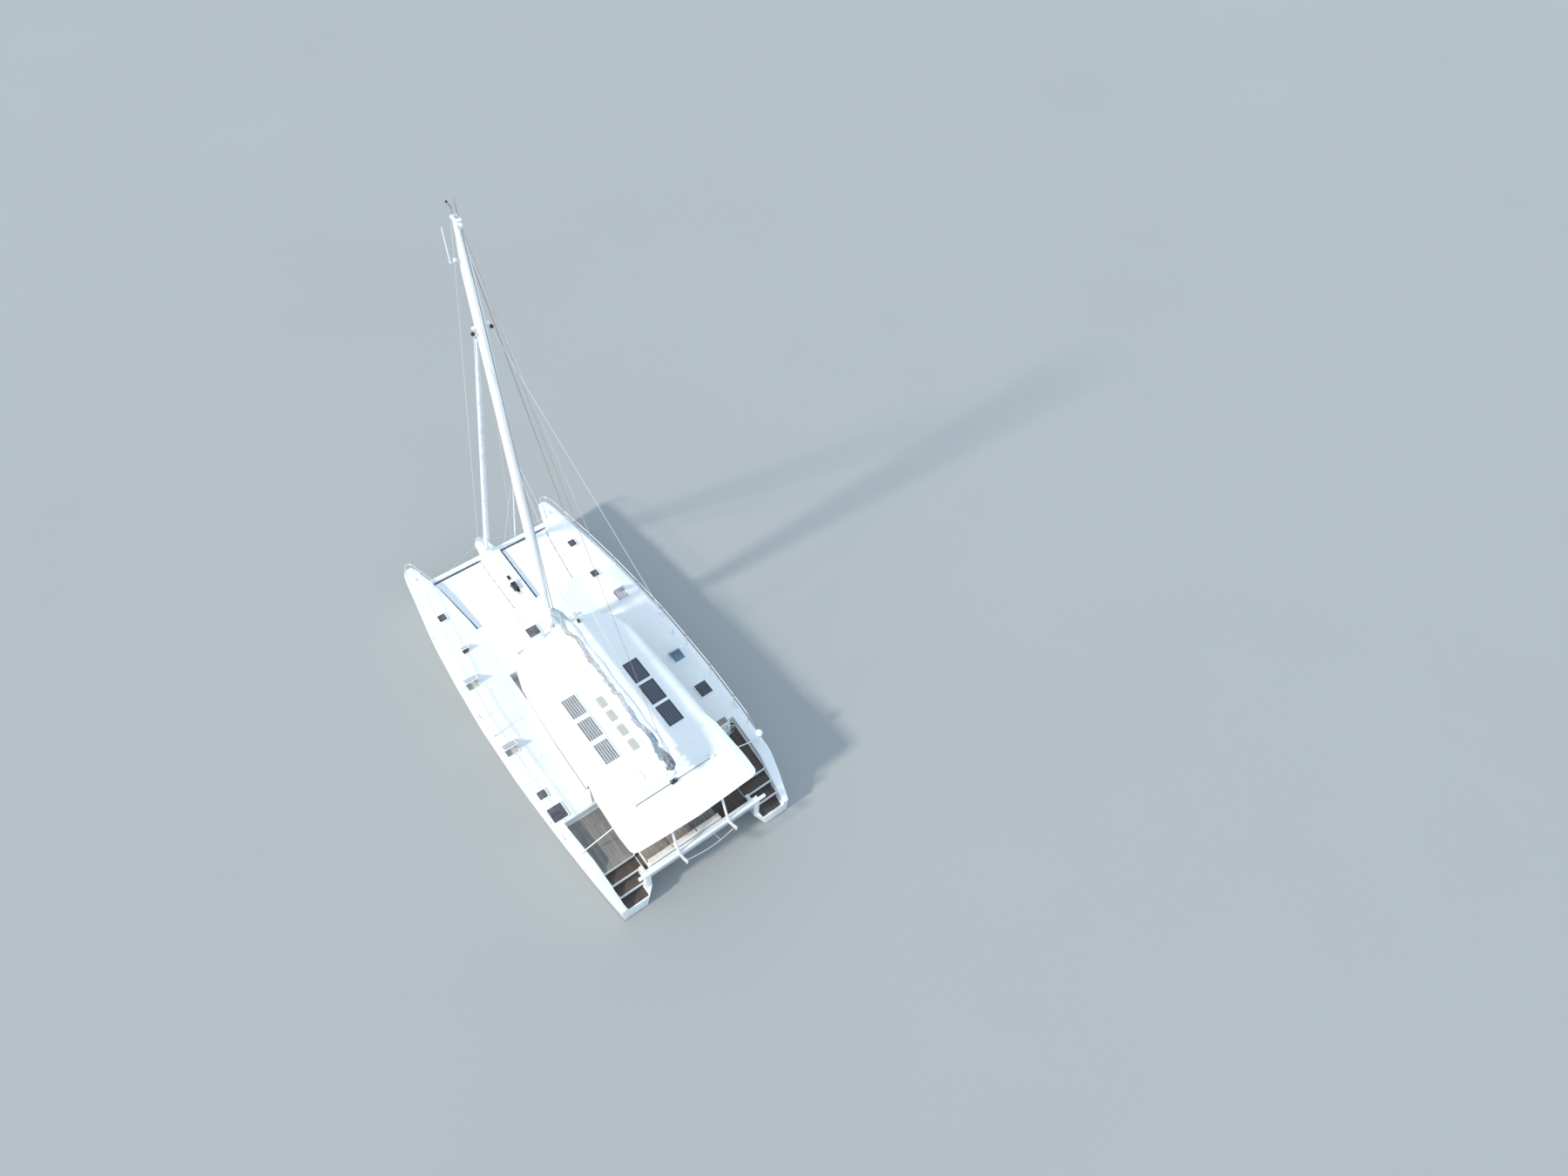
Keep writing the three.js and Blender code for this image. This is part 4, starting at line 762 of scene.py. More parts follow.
for side, side_name in SIDES:
    net = bmesh.new()
    layers = []
    for lift in (0.005, -0.005):
        layers.append([[net.verts.new(net_point(i / ALONG, j / ACROSS, side, lift))
                        for j in range(ACROSS + 1)] for i in range(ALONG + 1)])
    for layer in layers:
        for i in range(ALONG):
            for j in range(ACROSS):
                net.faces.new((layer[i][j], layer[i + 1][j], layer[i + 1][j + 1], layer[i][j + 1]))
    rim = grid_rim(ALONG, ACROSS)
    for (i, j), (k, m) in zip(rim, rim[1:] + rim[:1]):
        net.faces.new((layers[0][i][j], layers[0][k][m], layers[1][k][m], layers[1][i][j]))
    cloth = from_bmesh(f"trampoline_net_{side_name}", net, NET, slot="net", sharp=70)
    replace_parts(cloth, f"trampoline_{side_name}")

    hem, lacing, navy_edge = bmesh.new(), bmesh.new(), bmesh.new()
    # Edges with navy webbing also get navy hem and lacing: painted shade along those gaps.
    navy = [row[0] for row in BANDS[side_name] if row[3] == NAVY_SHADE_WEBBING]
    for edge, at in EDGE_AT.items():
        rim = [net_point(*at(i / ALONG), side, 0) for i in range(ALONG + 1)]
        add_tube(navy_edge if edge in navy else hem, rim, 0.016, 6)
    inner, outer = [], []
    for i in range(31):
        x = NET_AFT + 0.02 + (NET_FORE - NET_AFT - 0.04) * i / 30
        inner.append((x, side * (NET_IN + 0.015 if i % 2 else 0.452), NET_Z))
        outer.append((x, side * (net_edge(x) - 0.015 if i % 2 else net_edge(x) + 0.062), NET_Z))
    fore, aft = [], []
    for i in range(19):
        y = NET_IN + 0.02 + (net_edge(NET_AFT) - NET_IN - 0.06) * i / 18
        fore.append((NET_FORE - 0.015 if i % 2 else BEAM_X - BEAM_R - 0.003, side * y, NET_Z))
        aft.append((NET_AFT + 0.015 if i % 2 else 4.404, side * y, NET_Z))
    for edge, path in (("inner", inner), ("outer", outer), ("fore", fore), ("aft", aft)):
        add_tube(navy_edge if edge in navy else lacing, path, 0.004, 5)
    hem_piece = from_bmesh(f"trampoline_hem_{side_name}", hem, CANVAS, slot="net", sharp=70)
    laces = [from_bmesh(f"trampoline_lacing_{side_name}", lacing, ROPE, slot="net", sharp=70),
             from_bmesh(f"trampoline_navy_edge_{side_name}", navy_edge, NAVY_SHADE_WEBBING, slot="net", sharp=70)]
    for number, (edge, near_side, far_side, band_look) in enumerate(BANDS[side_name], 1):
        strip = bmesh.new()
        line = [Vector(net_rim(*EDGE_AT[edge](i / 24), side)) for i in range(25)]
        out = Vector(EDGE_OUT[edge])
        out.y *= side
        near = [p + out * near_side for p in line]
        far = [p + out * far_side for p in line]
        top = Vector((0, 0, 0.009 if near_side < 0 else 0.002))
        add_loft(strip, [[a + top, b + top, b - Vector((0, 0, 0.004)), a - Vector((0, 0, 0.004))]
                         for a, b in zip(near, far)])
        from_bmesh(f"trampoline_webbing_{number}_{side_name}", strip, band_look, slot="net")
    width = net_edge(NET_AFT) - NET_IN

# Rolled sails on their stays: distance up the stay and radius
STAY_FOOT, STAY_HEAD = Vector((7.85, 0, 1.9303)), Vector((2.44, 0, 18.2497))
INNER_FOOT, INNER_HEAD = Vector((BEAM_X, -1.3, NET_Z)), Vector((2.42, -0.05, 11.9997))
stay_turn = (STAY_HEAD - STAY_FOOT).to_track_quat("Z", "Y")
roll_end = (STAY_HEAD - STAY_FOOT).length - 0.9
inner_end = (INNER_HEAD - INNER_FOOT).length
GENOA = ((0.425, 0.036), (0.55, 0.058), (1.32, 0.112), (0.4 * roll_end, 0.108), (0.8 * roll_end, 0.08),
         (roll_end - 0.06, 0.047), (roll_end - 0.003, 0.02))
STAYSAIL = ((0.145, 0.012), (0.45, 0.012), (0.52, 0.026), (1.1, 0.033), (0.6 * inner_end, 0.028),
            (0.93 * inner_end, 0.018), (0.94 * inner_end, 0.009), (inner_end - 0.004, 0.009))


def roll_radius(rows, d):
    for (d0, r0), (d1, r1) in zip(rows, rows[1:]):
        if d <= d1:
            break
    return r0 + (r1 - r0) * (d - d0) / (d1 - d0)


def add_roll(work, foot, head, rows, steps, sides, pitch):
    """Sailcloth wound round a stay: two turns of edges run up it over slow creases."""
    turn = (head - foot).to_track_quat("Z", "Y")
    rings = []
    for i in range(steps + 1):
        d = rows[0][0] + (rows[-1][0] - rows[0][0]) * i / steps
        ring = []
        for k in range(sides):
            angle = 2 * math.pi * k / sides
            wind = (angle / (2 * math.pi) - d / pitch) % 1
            second = (angle / (2 * math.pi) - d / (0.39 * pitch) + 0.3) % 1
            crease = noise.noise(Vector((d * 1.1, math.cos(angle) * 1.2, math.sin(angle) * 1.2)))
            r = roll_radius(rows, d) * (0.93 + 0.1 * wind + 0.03 * second + 0.05 * crease)
            ring.append(foot + turn @ Vector((r * math.cos(angle), r * math.sin(angle), d)))
        rings.append(ring)
    add_loft(work, rings)


roll = bmesh.new()
add_roll(roll, STAY_FOOT, STAY_HEAD, GENOA, 180, 28, 1.9)
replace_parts(from_bmesh("genoa_roll", roll, ROLL_LOOK, sharp=50), "furled_genoa")
roll = bmesh.new()
add_roll(roll, INNER_FOOT, INNER_HEAD, STAYSAIL, 200, 14, 0.8)
lift_foot = (BEAM_X - 0.04, -0.75, NET_Z + 0.115)
add_tube(roll, between(lift_foot, INNER_FOOT.lerp(INNER_HEAD, 0.965), 6), 0.006, 6)
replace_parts(from_bmesh("staysail_wound", roll, ROLL_LOOK, sharp=50), "staysail_roll")
sheets = bmesh.new()
for phase in (0.0, 2.1):
    path = []
    for i in range(3 * 14 + 1):
        angle = phase + 2 * math.pi * i / 14
        d = 1.15 + 0.07 * i / 14 + phase * 0.12
        r = roll_radius(GENOA, d) * 1.05 + 0.007
        path.append(STAY_FOOT + stay_turn @ Vector((r * math.cos(angle), r * math.sin(angle), d)))
    add_tube(sheets, path, 0.007, 6)
from_bmesh("genoa_sheet_turns", sheets, ROPE, slot="sailcloth", sharp=60)

# Sail bag: canvas troughs held up by the lazy jacks
# x, half width at the rim, rim rise above the boom
BAG = ((1.6, 0.16, 0.25), (1.25, 0.3, 0.31), (0.2, 0.34, 0.32), (-5.4, 0.33, 0.29), (-6.6, 0.25, 0.2))
BAG_LOW = BOOM_Z + 0.1503
JACKS_X = (0.2, -1.7, -3.6, -5.4)
BAG_FORE = 1.6
BAG_LENGTH = 8.2


def bag_rim(x, side):
    """Rim point: between the lazy jacks the canvas hangs lower and further in."""
    near = min(abs(x - j) for j in JACKS_X)
    slack = min(1.0, near / 0.95)
    ripple = noise.noise(Vector((x * 2.2, side * 3.0, 0.4)))
    half = table_at(BAG, x, 1) - 0.045 * slack + 0.02 * ripple
    rise = table_at(BAG, x, 2) - 0.055 * slack ** 1.5 + 0.015 * ripple
    return half, BAG_LOW + rise


def bag_side(x, side, t, inward):
    """A point of the canvas; t runs from the bag's foot to its rim."""
    half, high = bag_rim(x, side)
    fold = noise.noise(Vector((x * 3.2, t * 2.0, side * 5.0))) * 0.022 * math.sin(math.pi * t)
    belly = 0.03 * math.sin(math.pi * t)
    y = 0.15 + (half - 0.15) * t ** 0.9 + belly + fold - inward
    return (x, side * max(0.02, y), BAG_LOW + (high - BAG_LOW) * t + (inward if t < 0.1 else 0))


bag = bmesh.new()
rings = []
LEVELS = (0.0, 0.15, 0.32, 0.5, 0.68, 0.85, 1.0)
for i in range(121):
    x = BAG_FORE - BAG_LENGTH * i / 120
    ring = [bag_side(x, -1, t, 0) for t in LEVELS]
    ring += [bag_side(x, -1, t, 0.008) for t in reversed(LEVELS)]
    ring += [bag_side(x, 1, t, 0.008) for t in LEVELS]
    ring += [bag_side(x, 1, t, 0) for t in reversed(LEVELS)]
    rings.append(ring)
add_loft(bag, rings)
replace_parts(from_bmesh("sail_bag_canvas", bag, CANVAS, "boom_and_sail", "sailcloth", 60), "sail_bag")
bag_trim = bmesh.new()
for side, _ in SIDES:
    path = []
    for i in range(61):
        x = BAG_FORE - BAG_LENGTH * i / 60
        half, high = bag_rim(x, side)
        path.append((x, side * (half - 0.004), high + 0.006))
    add_tube(bag_trim, path, 0.011, 6)
from_bmesh("sail_bag_boltrope", bag_trim, CANVAS, "boom_and_sail", "sailcloth", 70)

# Mainsail flaked on the boom: folds fall to either side in turn
# x, half width, height of its shoulders, rise of its crown
PILE = ((1.64, 0.1, 4.66, 0.1), (1.25, 0.3, 4.7, 0.12), (0.2, 0.36, 4.71, 0.12), (-2.5, 0.36, 4.69, 0.12),
        (-5.2, 0.36, 4.67, 0.12), (-6.3, 0.24, 4.62, 0.1), (-6.68, 0.09, 4.54, 0.07))
PILE_FORE = 1.64
PILE_LENGTH = 8.32
PILE_STEPS = 320
FLANK = 8
CROWN = 34


def fold_depth(x, across):
    """Depth of the long folds that run along the crown of the pile."""
    depth = 0.0
    for spread, size, reach in ((9.0, 0.9, 0.03), (19.0, 2.0, 0.016)):
        value = abs(noise.noise(Vector((x * size, across * spread, spread))))
        depth += reach * max(0.0, 1 - value / 0.16)
    return depth


def pile_half(x, side, z):
    """Half width of the pile at a height, where the bag holds it in."""
    high = bag_rim(x, side)[1]
    level = min(1.0, (z - BAG_LOW) / (high - BAG_LOW))
    return min(table_at(PILE, x, 1), abs(bag_side(x, side, level, 0.016)[1]))


def pile_ring(x):
    """Section of the pile, from flank over crown to flank."""
    shoulder, rise = table_at(PILE, x, 2), table_at(PILE, x, 3)
    low = BAG_LOW + 0.022
    heights = [low + (shoulder - low) * k / FLANK for k in range(FLANK)]
    ring = [(x, -pile_half(x, -1, z), z) for z in heights]
    halves = {side: pile_half(x, side, shoulder) for side in (-1, 1)}
    for k in range(CROWN + 1):
        angle = math.pi * k / CROWN
        across = -halves[1 if k > CROWN / 2 else -1] * math.cos(angle)
        swell = 0.025 * noise.noise(Vector((x * 0.8, across * 2.5, 2.0)))
        inward = fold_depth(x, across) * math.sin(angle)
        ring.append((x, across, shoulder + (rise + swell) * math.sin(angle) ** 0.8 - inward))
    return ring + [(x, pile_half(x, 1, z), z) for z in reversed(heights)]


pile = bmesh.new()
add_loft(pile, [pile_ring(PILE_FORE - PILE_LENGTH * i / PILE_STEPS) for i in range(PILE_STEPS + 1)])
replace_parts(from_bmesh("mainsail_folds", pile, SAIL, "boom_and_sail", "sailcloth", 80), "mainsail_stowed")

# Mast: its fuller section above the boom, track, fittings, masthead gear
# height, half chord, half width
SPAR_ROWS = ((4.92, 0.2, 0.13), (5.4, 0.24, 0.163), (12.0, 0.242, 0.166), (20.2, 0.24, 0.163),
             (20.9, 0.19, 0.13), (21.5, 0.12, 0.08))
spar = bmesh.new()
add_loft(spar, [[(MAST_X + a * math.cos(t), b * math.sin(t), z)
                 for t in (2 * math.pi * k / 32 for k in range(32))] for z, a, b in SPAR_ROWS])
from_bmesh("mast_section", spar, ALLOY, slot="white_alloy", sharp=50)
track = bmesh.new()
add_tube(track, [(MAST_X - 0.243, 0, 5.4), (MAST_X - 0.243, 0, 20.1)], 0.012, 6)
add_slab(track, rounded(0.34, 0.2, 0.03), 0, 0.02, 0.004, Matrix.Translation((MAST_X - 0.03, 0, MAST_TOP)))
from_bmesh("mast_track", track, ALLOY, slot="white_alloy")

gear = bmesh.new()
add_tube(gear, [(MAST_X - 0.09, -0.05, MAST_TOP), (MAST_X - 0.09, -0.05, 22.5)], 0.008, 6, 0.003)
add_tube(gear, [(MAST_X + 0.05, 0.03, MAST_TOP), (MAST_X + 0.05, 0.03, MAST_TOP + 0.28),
                (MAST_X + 0.3, 0.03, MAST_TOP + 0.3)], 0.007, 6)
add_turned(gear, [(0.035, -0.014), (0.035, 0.014)], (MAST_X + 0.3, 0.03, MAST_TOP + 0.33), sides=12)
add_tube(gear, [(MAST_X - 0.05, 0.03, MAST_TOP + 0.36), (MAST_X + 0.16, 0.03, MAST_TOP + 0.36)], 0.005, 6)
from_bmesh("masthead_instruments", gear, BLACK, sharp=60)
light = bmesh.new()
add_turned(light, [(0.04, 0), (0.04, 0.03), (0.033, 0.035), (0.033, 0.1), (0.02, 0.115)],
           (MAST_X - 0.03, 0, MAST_TOP + 0.018), sides=20)
from_bmesh("masthead_light", light, PALE, slot="white_alloy")
arm = bmesh.new()
add_tube(arm, [(MAST_X, 0.07, 20.55), (MAST_X, 0.2, 20.6), (MAST_X, 0.42, 20.62)], 0.014, 8)
add_turned(arm, [(0.025, 0), (0.025, 0.06), (0.018, 0.08), (0.018, 1.1), (0.008, 1.14)],
           (MAST_X, 0.42, 20.6), sides=12)
add_turned(arm, [(0.05, 0), (0.06, 0.03), (0.05, 0.07), (0.02, 0.09)], (MAST_X, 0.28, 20.62), sides=16)
from_bmesh("mast_side_antenna", arm, GLOSS, slot="white_alloy", sharp=50)

lamps = bmesh.new()
add_turned(lamps, [(0.05, 0), (0.07, 0.03), (0.07, 0.09), (0.04, 0.13)], (MAST_X + 0.28, 0, 12.4), sides=16)
add_tube(lamps, [(MAST_X + 0.22, 0, 12.43), (MAST_X + 0.3, 0, 12.43)], 0.02, 8)
for side, _ in SIDES:
    add_turned(lamps, [(0.03, 0), (0.055, 0.04), (0.06, 0.09)], (MAST_X - 0.05, side * 0.3, 18.2),
               (0, 0, -1), 14)
from_bmesh("mast_lamps", lamps, BLACK)

# Lines that ride on the boat: name, radius, look, ends
NOSE = (8.5, 0.08, 1.94)
BOAT_LINES = (
    ("spare_halyard", 0.012, RED_ROPE, ((2.34, -0.06, 21.72), (7.3, -3.58, 2.64))),
    ("jib_halyard", 0.008, ROPE, ((2.34, -0.04, 21.72), (5.6, -3.83, 2.62))),
    ("bow_halyard", 0.009, ROPE, ((2.36, 0.04, 21.74), NOSE)),
    ("inner_halyard", 0.006, ROPE, ((7.78, -1.15, 1.87), (2.33, -0.06, 16.2))),
)
for line, radius, line_look, ends in BOAT_LINES:
    tubes(line, [between(*ends, 8)], radius, line_look, slot="stainless", sides=6)
whiskers = [between((8.5, side * 0.27, 1.72), (7.88, side * 1.9, 1.75)) for side, _ in SIDES]
whiskers += [between((8.4, side * 0.27, 1.69), (8.55, side * 3.12, 1.25)) for side, _ in SIDES]
tubes("bow_stays", whiskers, 0.009, STEEL, sides=8)

# Lines that swing with the boom
LIFT = between((MAST_X - 0.3, 0, 21.74), (BOOM_END + 0.12, 0, BOOM_Z + 0.1), 8)
jacks = []
for side, _ in SIDES:
    knot = Vector((PIVOT_X - 0.08, side * 0.05, 12.6))
    middle = Vector((-1.5, side * 0.24, 8.1))
    jacks += [[knot, middle]]
    for x in JACKS_X:
        half, high = bag_rim(x, side)
        jacks.append([middle if x < -0.5 else knot.lerp(middle, 0.55), Vector((x, side * half, high))])
tubes("topping_lift", [LIFT], 0.007, RED_ROPE, "boom_and_sail", "stainless", 6)
tubes("main_halyard", [between((PIVOT_X - 0.06, 0.03, 21.7), (1.5, 0.0, 4.8), 8)], 0.016, GREY_ROPE,
      "boom_and_sail", "stainless", 6)
tubes("lazy_jacks", jacks, 0.006, ROPE, "boom_and_sail", "stainless", 5)

fittings = bmesh.new()
add_turned(fittings, [(0.1, 0), (0.12, 0.02), (0.12, 0.05), (0.06, 0.07)],
           (BOOM_END + 0.02, 0, BOOM_Z), (-1, 0, 0), 20)
for x in (-6.45, -6.2):
    add_turned(fittings, [(0.035, -0.02), (0.045, 0), (0.035, 0.02)], (x, 0, BOOM_Z - 0.2), (0, 1, 0), 16)
    add_slab(fittings, rounded(0.05, 0.06, 0.01, at=(x, 0)), BOOM_Z - 0.19, BOOM_Z - 0.13)
from_bmesh("boom_end_fittings", fittings, ALLOY, "boom_and_sail", "black_fitting")

# Mainsheet: four legs from eyes by the track's ends to the boom
# y of the foot, x of the head
LEGS = ((1.66, -6.45), (-1.66, -6.45), (1.58, -6.2), (-1.58, -6.2))
legs, eyes = bmesh.new(), bmesh.new()
for foot_y, head_x in LEGS:
    foot = Vector((TRACK_X + (0.15 if head_x < -6.3 else 0.19), foot_y, ROOF + 0.06))
    add_tube(legs, between(foot, (head_x, 0, BOOM_Z - 0.22), 10), 0.006, 6)
    add_turned(eyes, [(0.026, 0), (0.026, 0.01), (0.013, 0.014), (0.013, 0.066)], (*foot.xy, ROOF + 0.001),
               sides=12)
from_bmesh("mainsheet_eyes", eyes, STEEL)
mesh = bpy.data.meshes.new("mainsheet")
legs.to_mesh(mesh)
legs.free()
mesh.materials.append(ROPE.material)
mainsheet = bpy.data.objects.new("mainsheet", mesh)
bpy.context.scene.collection.objects.link(mainsheet)
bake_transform(mainsheet)

# A black strip along the track's top: painted shade in its groove.
groove = bmesh.new()
add_slab(groove, rounded(0.03, 3.2, 0.01, 2, (TRACK_X, 0)), ROOF + 0.0302, ROOF + 0.034, 0.001)
from_bmesh("sheet_track_groove_painted_shade", groove, BLACK)
car = bmesh.new()
for y in (-0.09, 0.09):
    add_turned(car, [(0.04, -0.02), (0.048, 0), (0.04, 0.02)], (TRACK_X, y, ROOF + 0.13), (1, 0, 0), 16)
from_bmesh("sheet_car_sheaves", car, GREY, "traveller", "black_fitting")

# Deck hardware
WINCH_SIZE = 1.1
# x, y
CLEATS = ((8.05, 3.2), (0.7, 4.2), (-4.75, 4.17), (5.0, 3.95))


def add_cleat(work, x, y, z):
    spot = Matrix.Translation((x, y, z))
    add_slab(work, rounded(0.13, 0.05, 0.02), 0, 0.01, 0.003, spot)
    for end in (-0.04, 0.04):
        add_tube(work, [spot @ Vector((end, 0, 0.005)), spot @ Vector((end, 0, 0.05))], 0.011, 8)
    horn = [spot @ Vector((s * 0.125, 0, 0.062 - 0.012 * (abs(s) < 0.6))) for s in (-1, -0.5, 0, 0.5, 1)]
    add_tube(work, horn, 0.012, 8)


cleats = bmesh.new()
for side, _ in SIDES:
    for x, y in CLEATS:
        add_cleat(cleats, x, side * y, station(x, 3) + 0.001)
from_bmesh("deck_cleats", cleats, STEEL, sharp=50)


def add_winch(work, x, y, z):
    profile = [(0.085, 0), (0.085, 0.02), (0.07, 0.03), (0.052, 0.05), (0.05, 0.1), (0.062, 0.125),
               (0.066, 0.14), (0.066, 0.15), (0.03, 0.155), (0.03, 0.165)]
    add_turned(work, [(r * WINCH_SIZE, d * WINCH_SIZE) for r, d in profile], (x, y, z), sides=28)


winches = bmesh.new()
add_winch(winches, 2.66, -1.28, DECK)
for y in (-0.62, 0.62):
    add_winch(winches, 1.55, y, ROOF + 0.002)
from_bmesh("deck_winches", winches, STEEL, sharp=50)

clutches = bmesh.new()
for y in (-0.95, -0.89, -0.83):
    spot = Matrix.Translation((1.35, y, ROOF + 0.001))
    add_slab(clutches, rounded(0.2, 0.045, 0.015), 0, 0.045, 0.012, spot)
    add_slab(clutches, rounded(0.11, 0.02, 0.008), 0.04, 0.058, 0.006, spot)
from_bmesh("rope_clutches", clutches, BLACK)

plates = bmesh.new()
add_turned(plates, [(0.05, 0), (0.05, 0.008), (0.035, 0.014)], (-2.9, -3.99, DECK + 0.001), sides=20)
for side, _ in SIDES:
    add_turned(plates, [(0.04, 0), (0.04, 0.007), (0.03, 0.01)], (1.5, side * 3.2, DECK + 0.001), sides=20)
    add_turned(plates, [(0.03, 0), (0.03, 0.007), (0.02, 0.01)], (-2.2, side * 3.1, DECK + 0.001), sides=20)
from_bmesh("deck_fillers", plates, STEEL)

# Bow: anchor on its roller, a black strip painting the shade in the walkway's slot, locker lids
bow = bmesh.new()
# A black strip on the walkway: painted shade in its slot.
add_slab(bow, rounded(1.16, 0.13, 0.03, at=(5.54, -0.04)), 1.9302, 1.934, 0.002)
from_bmesh("walkway_slot_painted_shade", bow, BLACK)
chain_lid = bmesh.new()
for x, length in ((5.02, 0.1), (5.84, 0.06)):
    add_slab(chain_lid, rounded(length, 0.09, 0.02, at=(x, -0.04)), 1.934, 1.952, 0.005)
from_bmesh("windlass_lids", chain_lid, GLOSS)
anchor = bmesh.new()
add_tube(anchor, [(8.1, 0.0, 1.99), (8.4, 0.0, 2.0), (8.56, 0.0, 1.98), (8.66, 0.0, 1.9)], 0.022, 8)
add_loft(anchor, [[(8.7, 0.15, 1.88), (8.74, 0, 1.9), (8.7, -0.15, 1.88), (8.64, 0, 1.86)],
                  [(8.63, 0.09, 1.78), (8.65, 0, 1.79), (8.63, -0.09, 1.78), (8.61, 0, 1.77)],
                  [(8.45, 0.015, 1.68), (8.46, 0, 1.69), (8.45, -0.015, 1.68), (8.44, 0, 1.67)]])
add_turned(anchor, [(0.05, -0.05), (0.035, 0), (0.05, 0.05)], (8.5, 0, 1.95), (0, 1, 0), 14)
from_bmesh("bow_roller_anchor", anchor, STEEL, sharp=50)
lockers = bmesh.new()
# x, y, length, width
LOCKERS = ((3.75, 1.0, 0.75, 0.62), (3.75, -1.0, 0.75, 0.62), (3.3, -0.25, 0.3, 0.3))
for x, y, length, width in LOCKERS:
    add_slab(lockers, rounded(length, width, 0.06, at=(x, y)), DECK + 0.001, DECK + 0.02, 0.01)
from_bmesh("foredeck_locker_lids", lockers, GELCOAT)

# Windows on the outer topsides: x, length, height
WINDOWS = ((4.9, 0.9, 0.3), (2.9, 0.9, 0.3), (-0.6, 1.3, 0.34), (-3.0, 1.3, 0.34))


def topside(x, z, side, out):
    """A point on the hull's outer side, moved outward."""
    outer, water = station(x, 2), station(x, 4)
    deck = station(x, 3)
    low, high = (0.3 * deck, outer - 0.6 * (outer - water)), (0.75 * deck, outer - 0.1 * (outer - water))
    share = (z - low[0]) / (high[0] - low[0])
    return (x, side * (low[1] + (high[1] - low[1]) * share + out), z)


for side, side_name in SIDES:
    windows, borders = bmesh.new(), bmesh.new()
    for x, length, height in WINDOWS:
        outline = rounded(length, height, 0.1, 6)
        for work, grow, depth in ((borders, 0.025, 0.006), (windows, 0.0, 0.009)):
            rings = []
            for out in (-0.02, depth):
                rings.append([topside(x + px * (1 + 2 * grow / length), 1.15 + py * (1 + 2 * grow / height),
                                      side, out) for px, py in outline])
            add_loft(work, rings)
    from_bmesh(f"hull_windows_{side_name}", windows, GLASS, slot="tinted_glass")
    from_bmesh(f"hull_window_frames_{side_name}", borders, GREY, slot="tinted_glass")

# White sleeves on the lifelines between the stanchions: height above the deck, radius
SLEEVES = ((0.612, 0.015), (0.31, 0.01))
STANCHIONS_X = (7.3, 5.6, 3.9, 2.2, 0.5, -1.2, -2.9, -4.6, -5.6)
for side, side_name in SIDES:
    sleeves = bmesh.new()
    for height, radius in SLEEVES:
        posts = [Vector((x, side * (station(x, 2) - 0.095), station(x, 3) + height)) for x in STANCHIONS_X]
        for a, b in zip(posts, posts[1:]):
            gap = (b - a).normalized() * 0.06
            add_tube(sleeves, between(a + gap, b - gap, 2), radius, 8)
    from_bmesh(f"lifeline_sleeves_{side_name}", sleeves, ALLOY, slot="stainless", sharp=60)

# Rubbing strake along each gunwale
for side, side_name in SIDES:
    strake = bmesh.new()
    path = [(x, side * (station(x, 2) + 0.002), station(x, 3) - 0.07)
            for x in (8.6, 8.2, 7.1, 5.5, 4.4, 2.5, 0, -2.5, -5.0, -6.9)]
    add_tube(strake, path, 0.018, 8)
    from_bmesh(f"rub_strake_{side_name}", strake, GLOSS, sharp=60)

# Helm: cover and instruments on the starboard quarter
helm = bmesh.new()
cover = softened([(-5.12, -2.75), (-5.12, -3.35), (-5.36, -3.35), (-5.36, -2.75)], 0.04)
add_slab(helm, cover, 2.46, 2.53, 0.02)
from_bmesh("helm_cover", helm, SEAT, slot="cushion")
dials = bmesh.new()
for y in (-3.22, -3.05, -2.88):
    add_turned(dials, [(0.055, 0), (0.055, 0.012), (0.045, 0.016)], (-5.452, y, 2.3), (-1, 0, 0.25), 24)
from_bmesh("helm_instruments", dials, BLACK)


# Cushions
PAD_STEPS = 22


def pad_height(base, u, v, depth, crown):
    """Height of a pad's upper side; u and v run from -1 to 1 across it."""
    x, y, z = base
    edge = (1 - abs(u) ** 5) * (1 - abs(v) ** 5)
    wave = noise.noise(Vector((x + u * 1.7, y + v * 1.7, z))) * 0.006
    return depth - 0.03 + (crown + wave) * edge


def pad_point(u, v, w, length, width):
    """Plan point, pulled in along the sides; w is 0 at the underside and 1 at the upper seam."""
    pull = 0.014 * math.sin(math.pi * w)
    px = u * (length / 2 - pull - 0.01 * (1 - v * v) * (abs(u) == 1))
    py = v * (width / 2 - pull - 0.01 * (1 - u * u) * (abs(v) == 1))
    return px, py


def cushion(name, base, size, crown=0.03, look=SEAT, tilt=0.0):
    """A crowned pad with piping; base is the middle of its underside."""
    length, width, depth = size
    spot = Matrix.Translation(base) @ Matrix.Rotation(tilt, 4, "Y")
    work = bmesh.new()

    def corner(i, j, w):
        u, v = 2 * i / PAD_STEPS - 1, 2 * j / PAD_STEPS - 1
        height = pad_height(base, u, v, depth, crown) * w
        return work.verts.new(spot @ Vector((*pad_point(u, v, w, length, width), height)))

    steps = range(PAD_STEPS + 1)
    grid = {(i, j, w): corner(i, j, w) for i in steps for j in steps for w in (1, 0)}
    for i in range(PAD_STEPS):
        for j in range(PAD_STEPS):
            work.faces.new([grid[a, b, 1] for a, b in ((i, j), (i + 1, j), (i + 1, j + 1), (i, j + 1))])
            work.faces.new([grid[a, b, 0] for a, b in ((i, j), (i, j + 1), (i + 1, j + 1), (i + 1, j))])
    rim = grid_rim(PAD_STEPS, PAD_STEPS)
    walls = [[grid[i, j, 0] for i, j in rim]]
    walls += [[corner(i, j, w) for i, j in rim] for w in (0.35, 0.7)]
    add_walls(work, walls + [[grid[i, j, 1] for i, j in rim]])
    seam = bmesh.new()
    points = [grid[i, j, 1].co.copy() for i, j in rim]
    add_tube(seam, points + points[:1], 0.005, 6)
    pad = from_bmesh(name, work, look, slot="cushion", sharp=60)
    from_bmesh(name + "_piping", seam, look, slot="cushion", sharp=60)


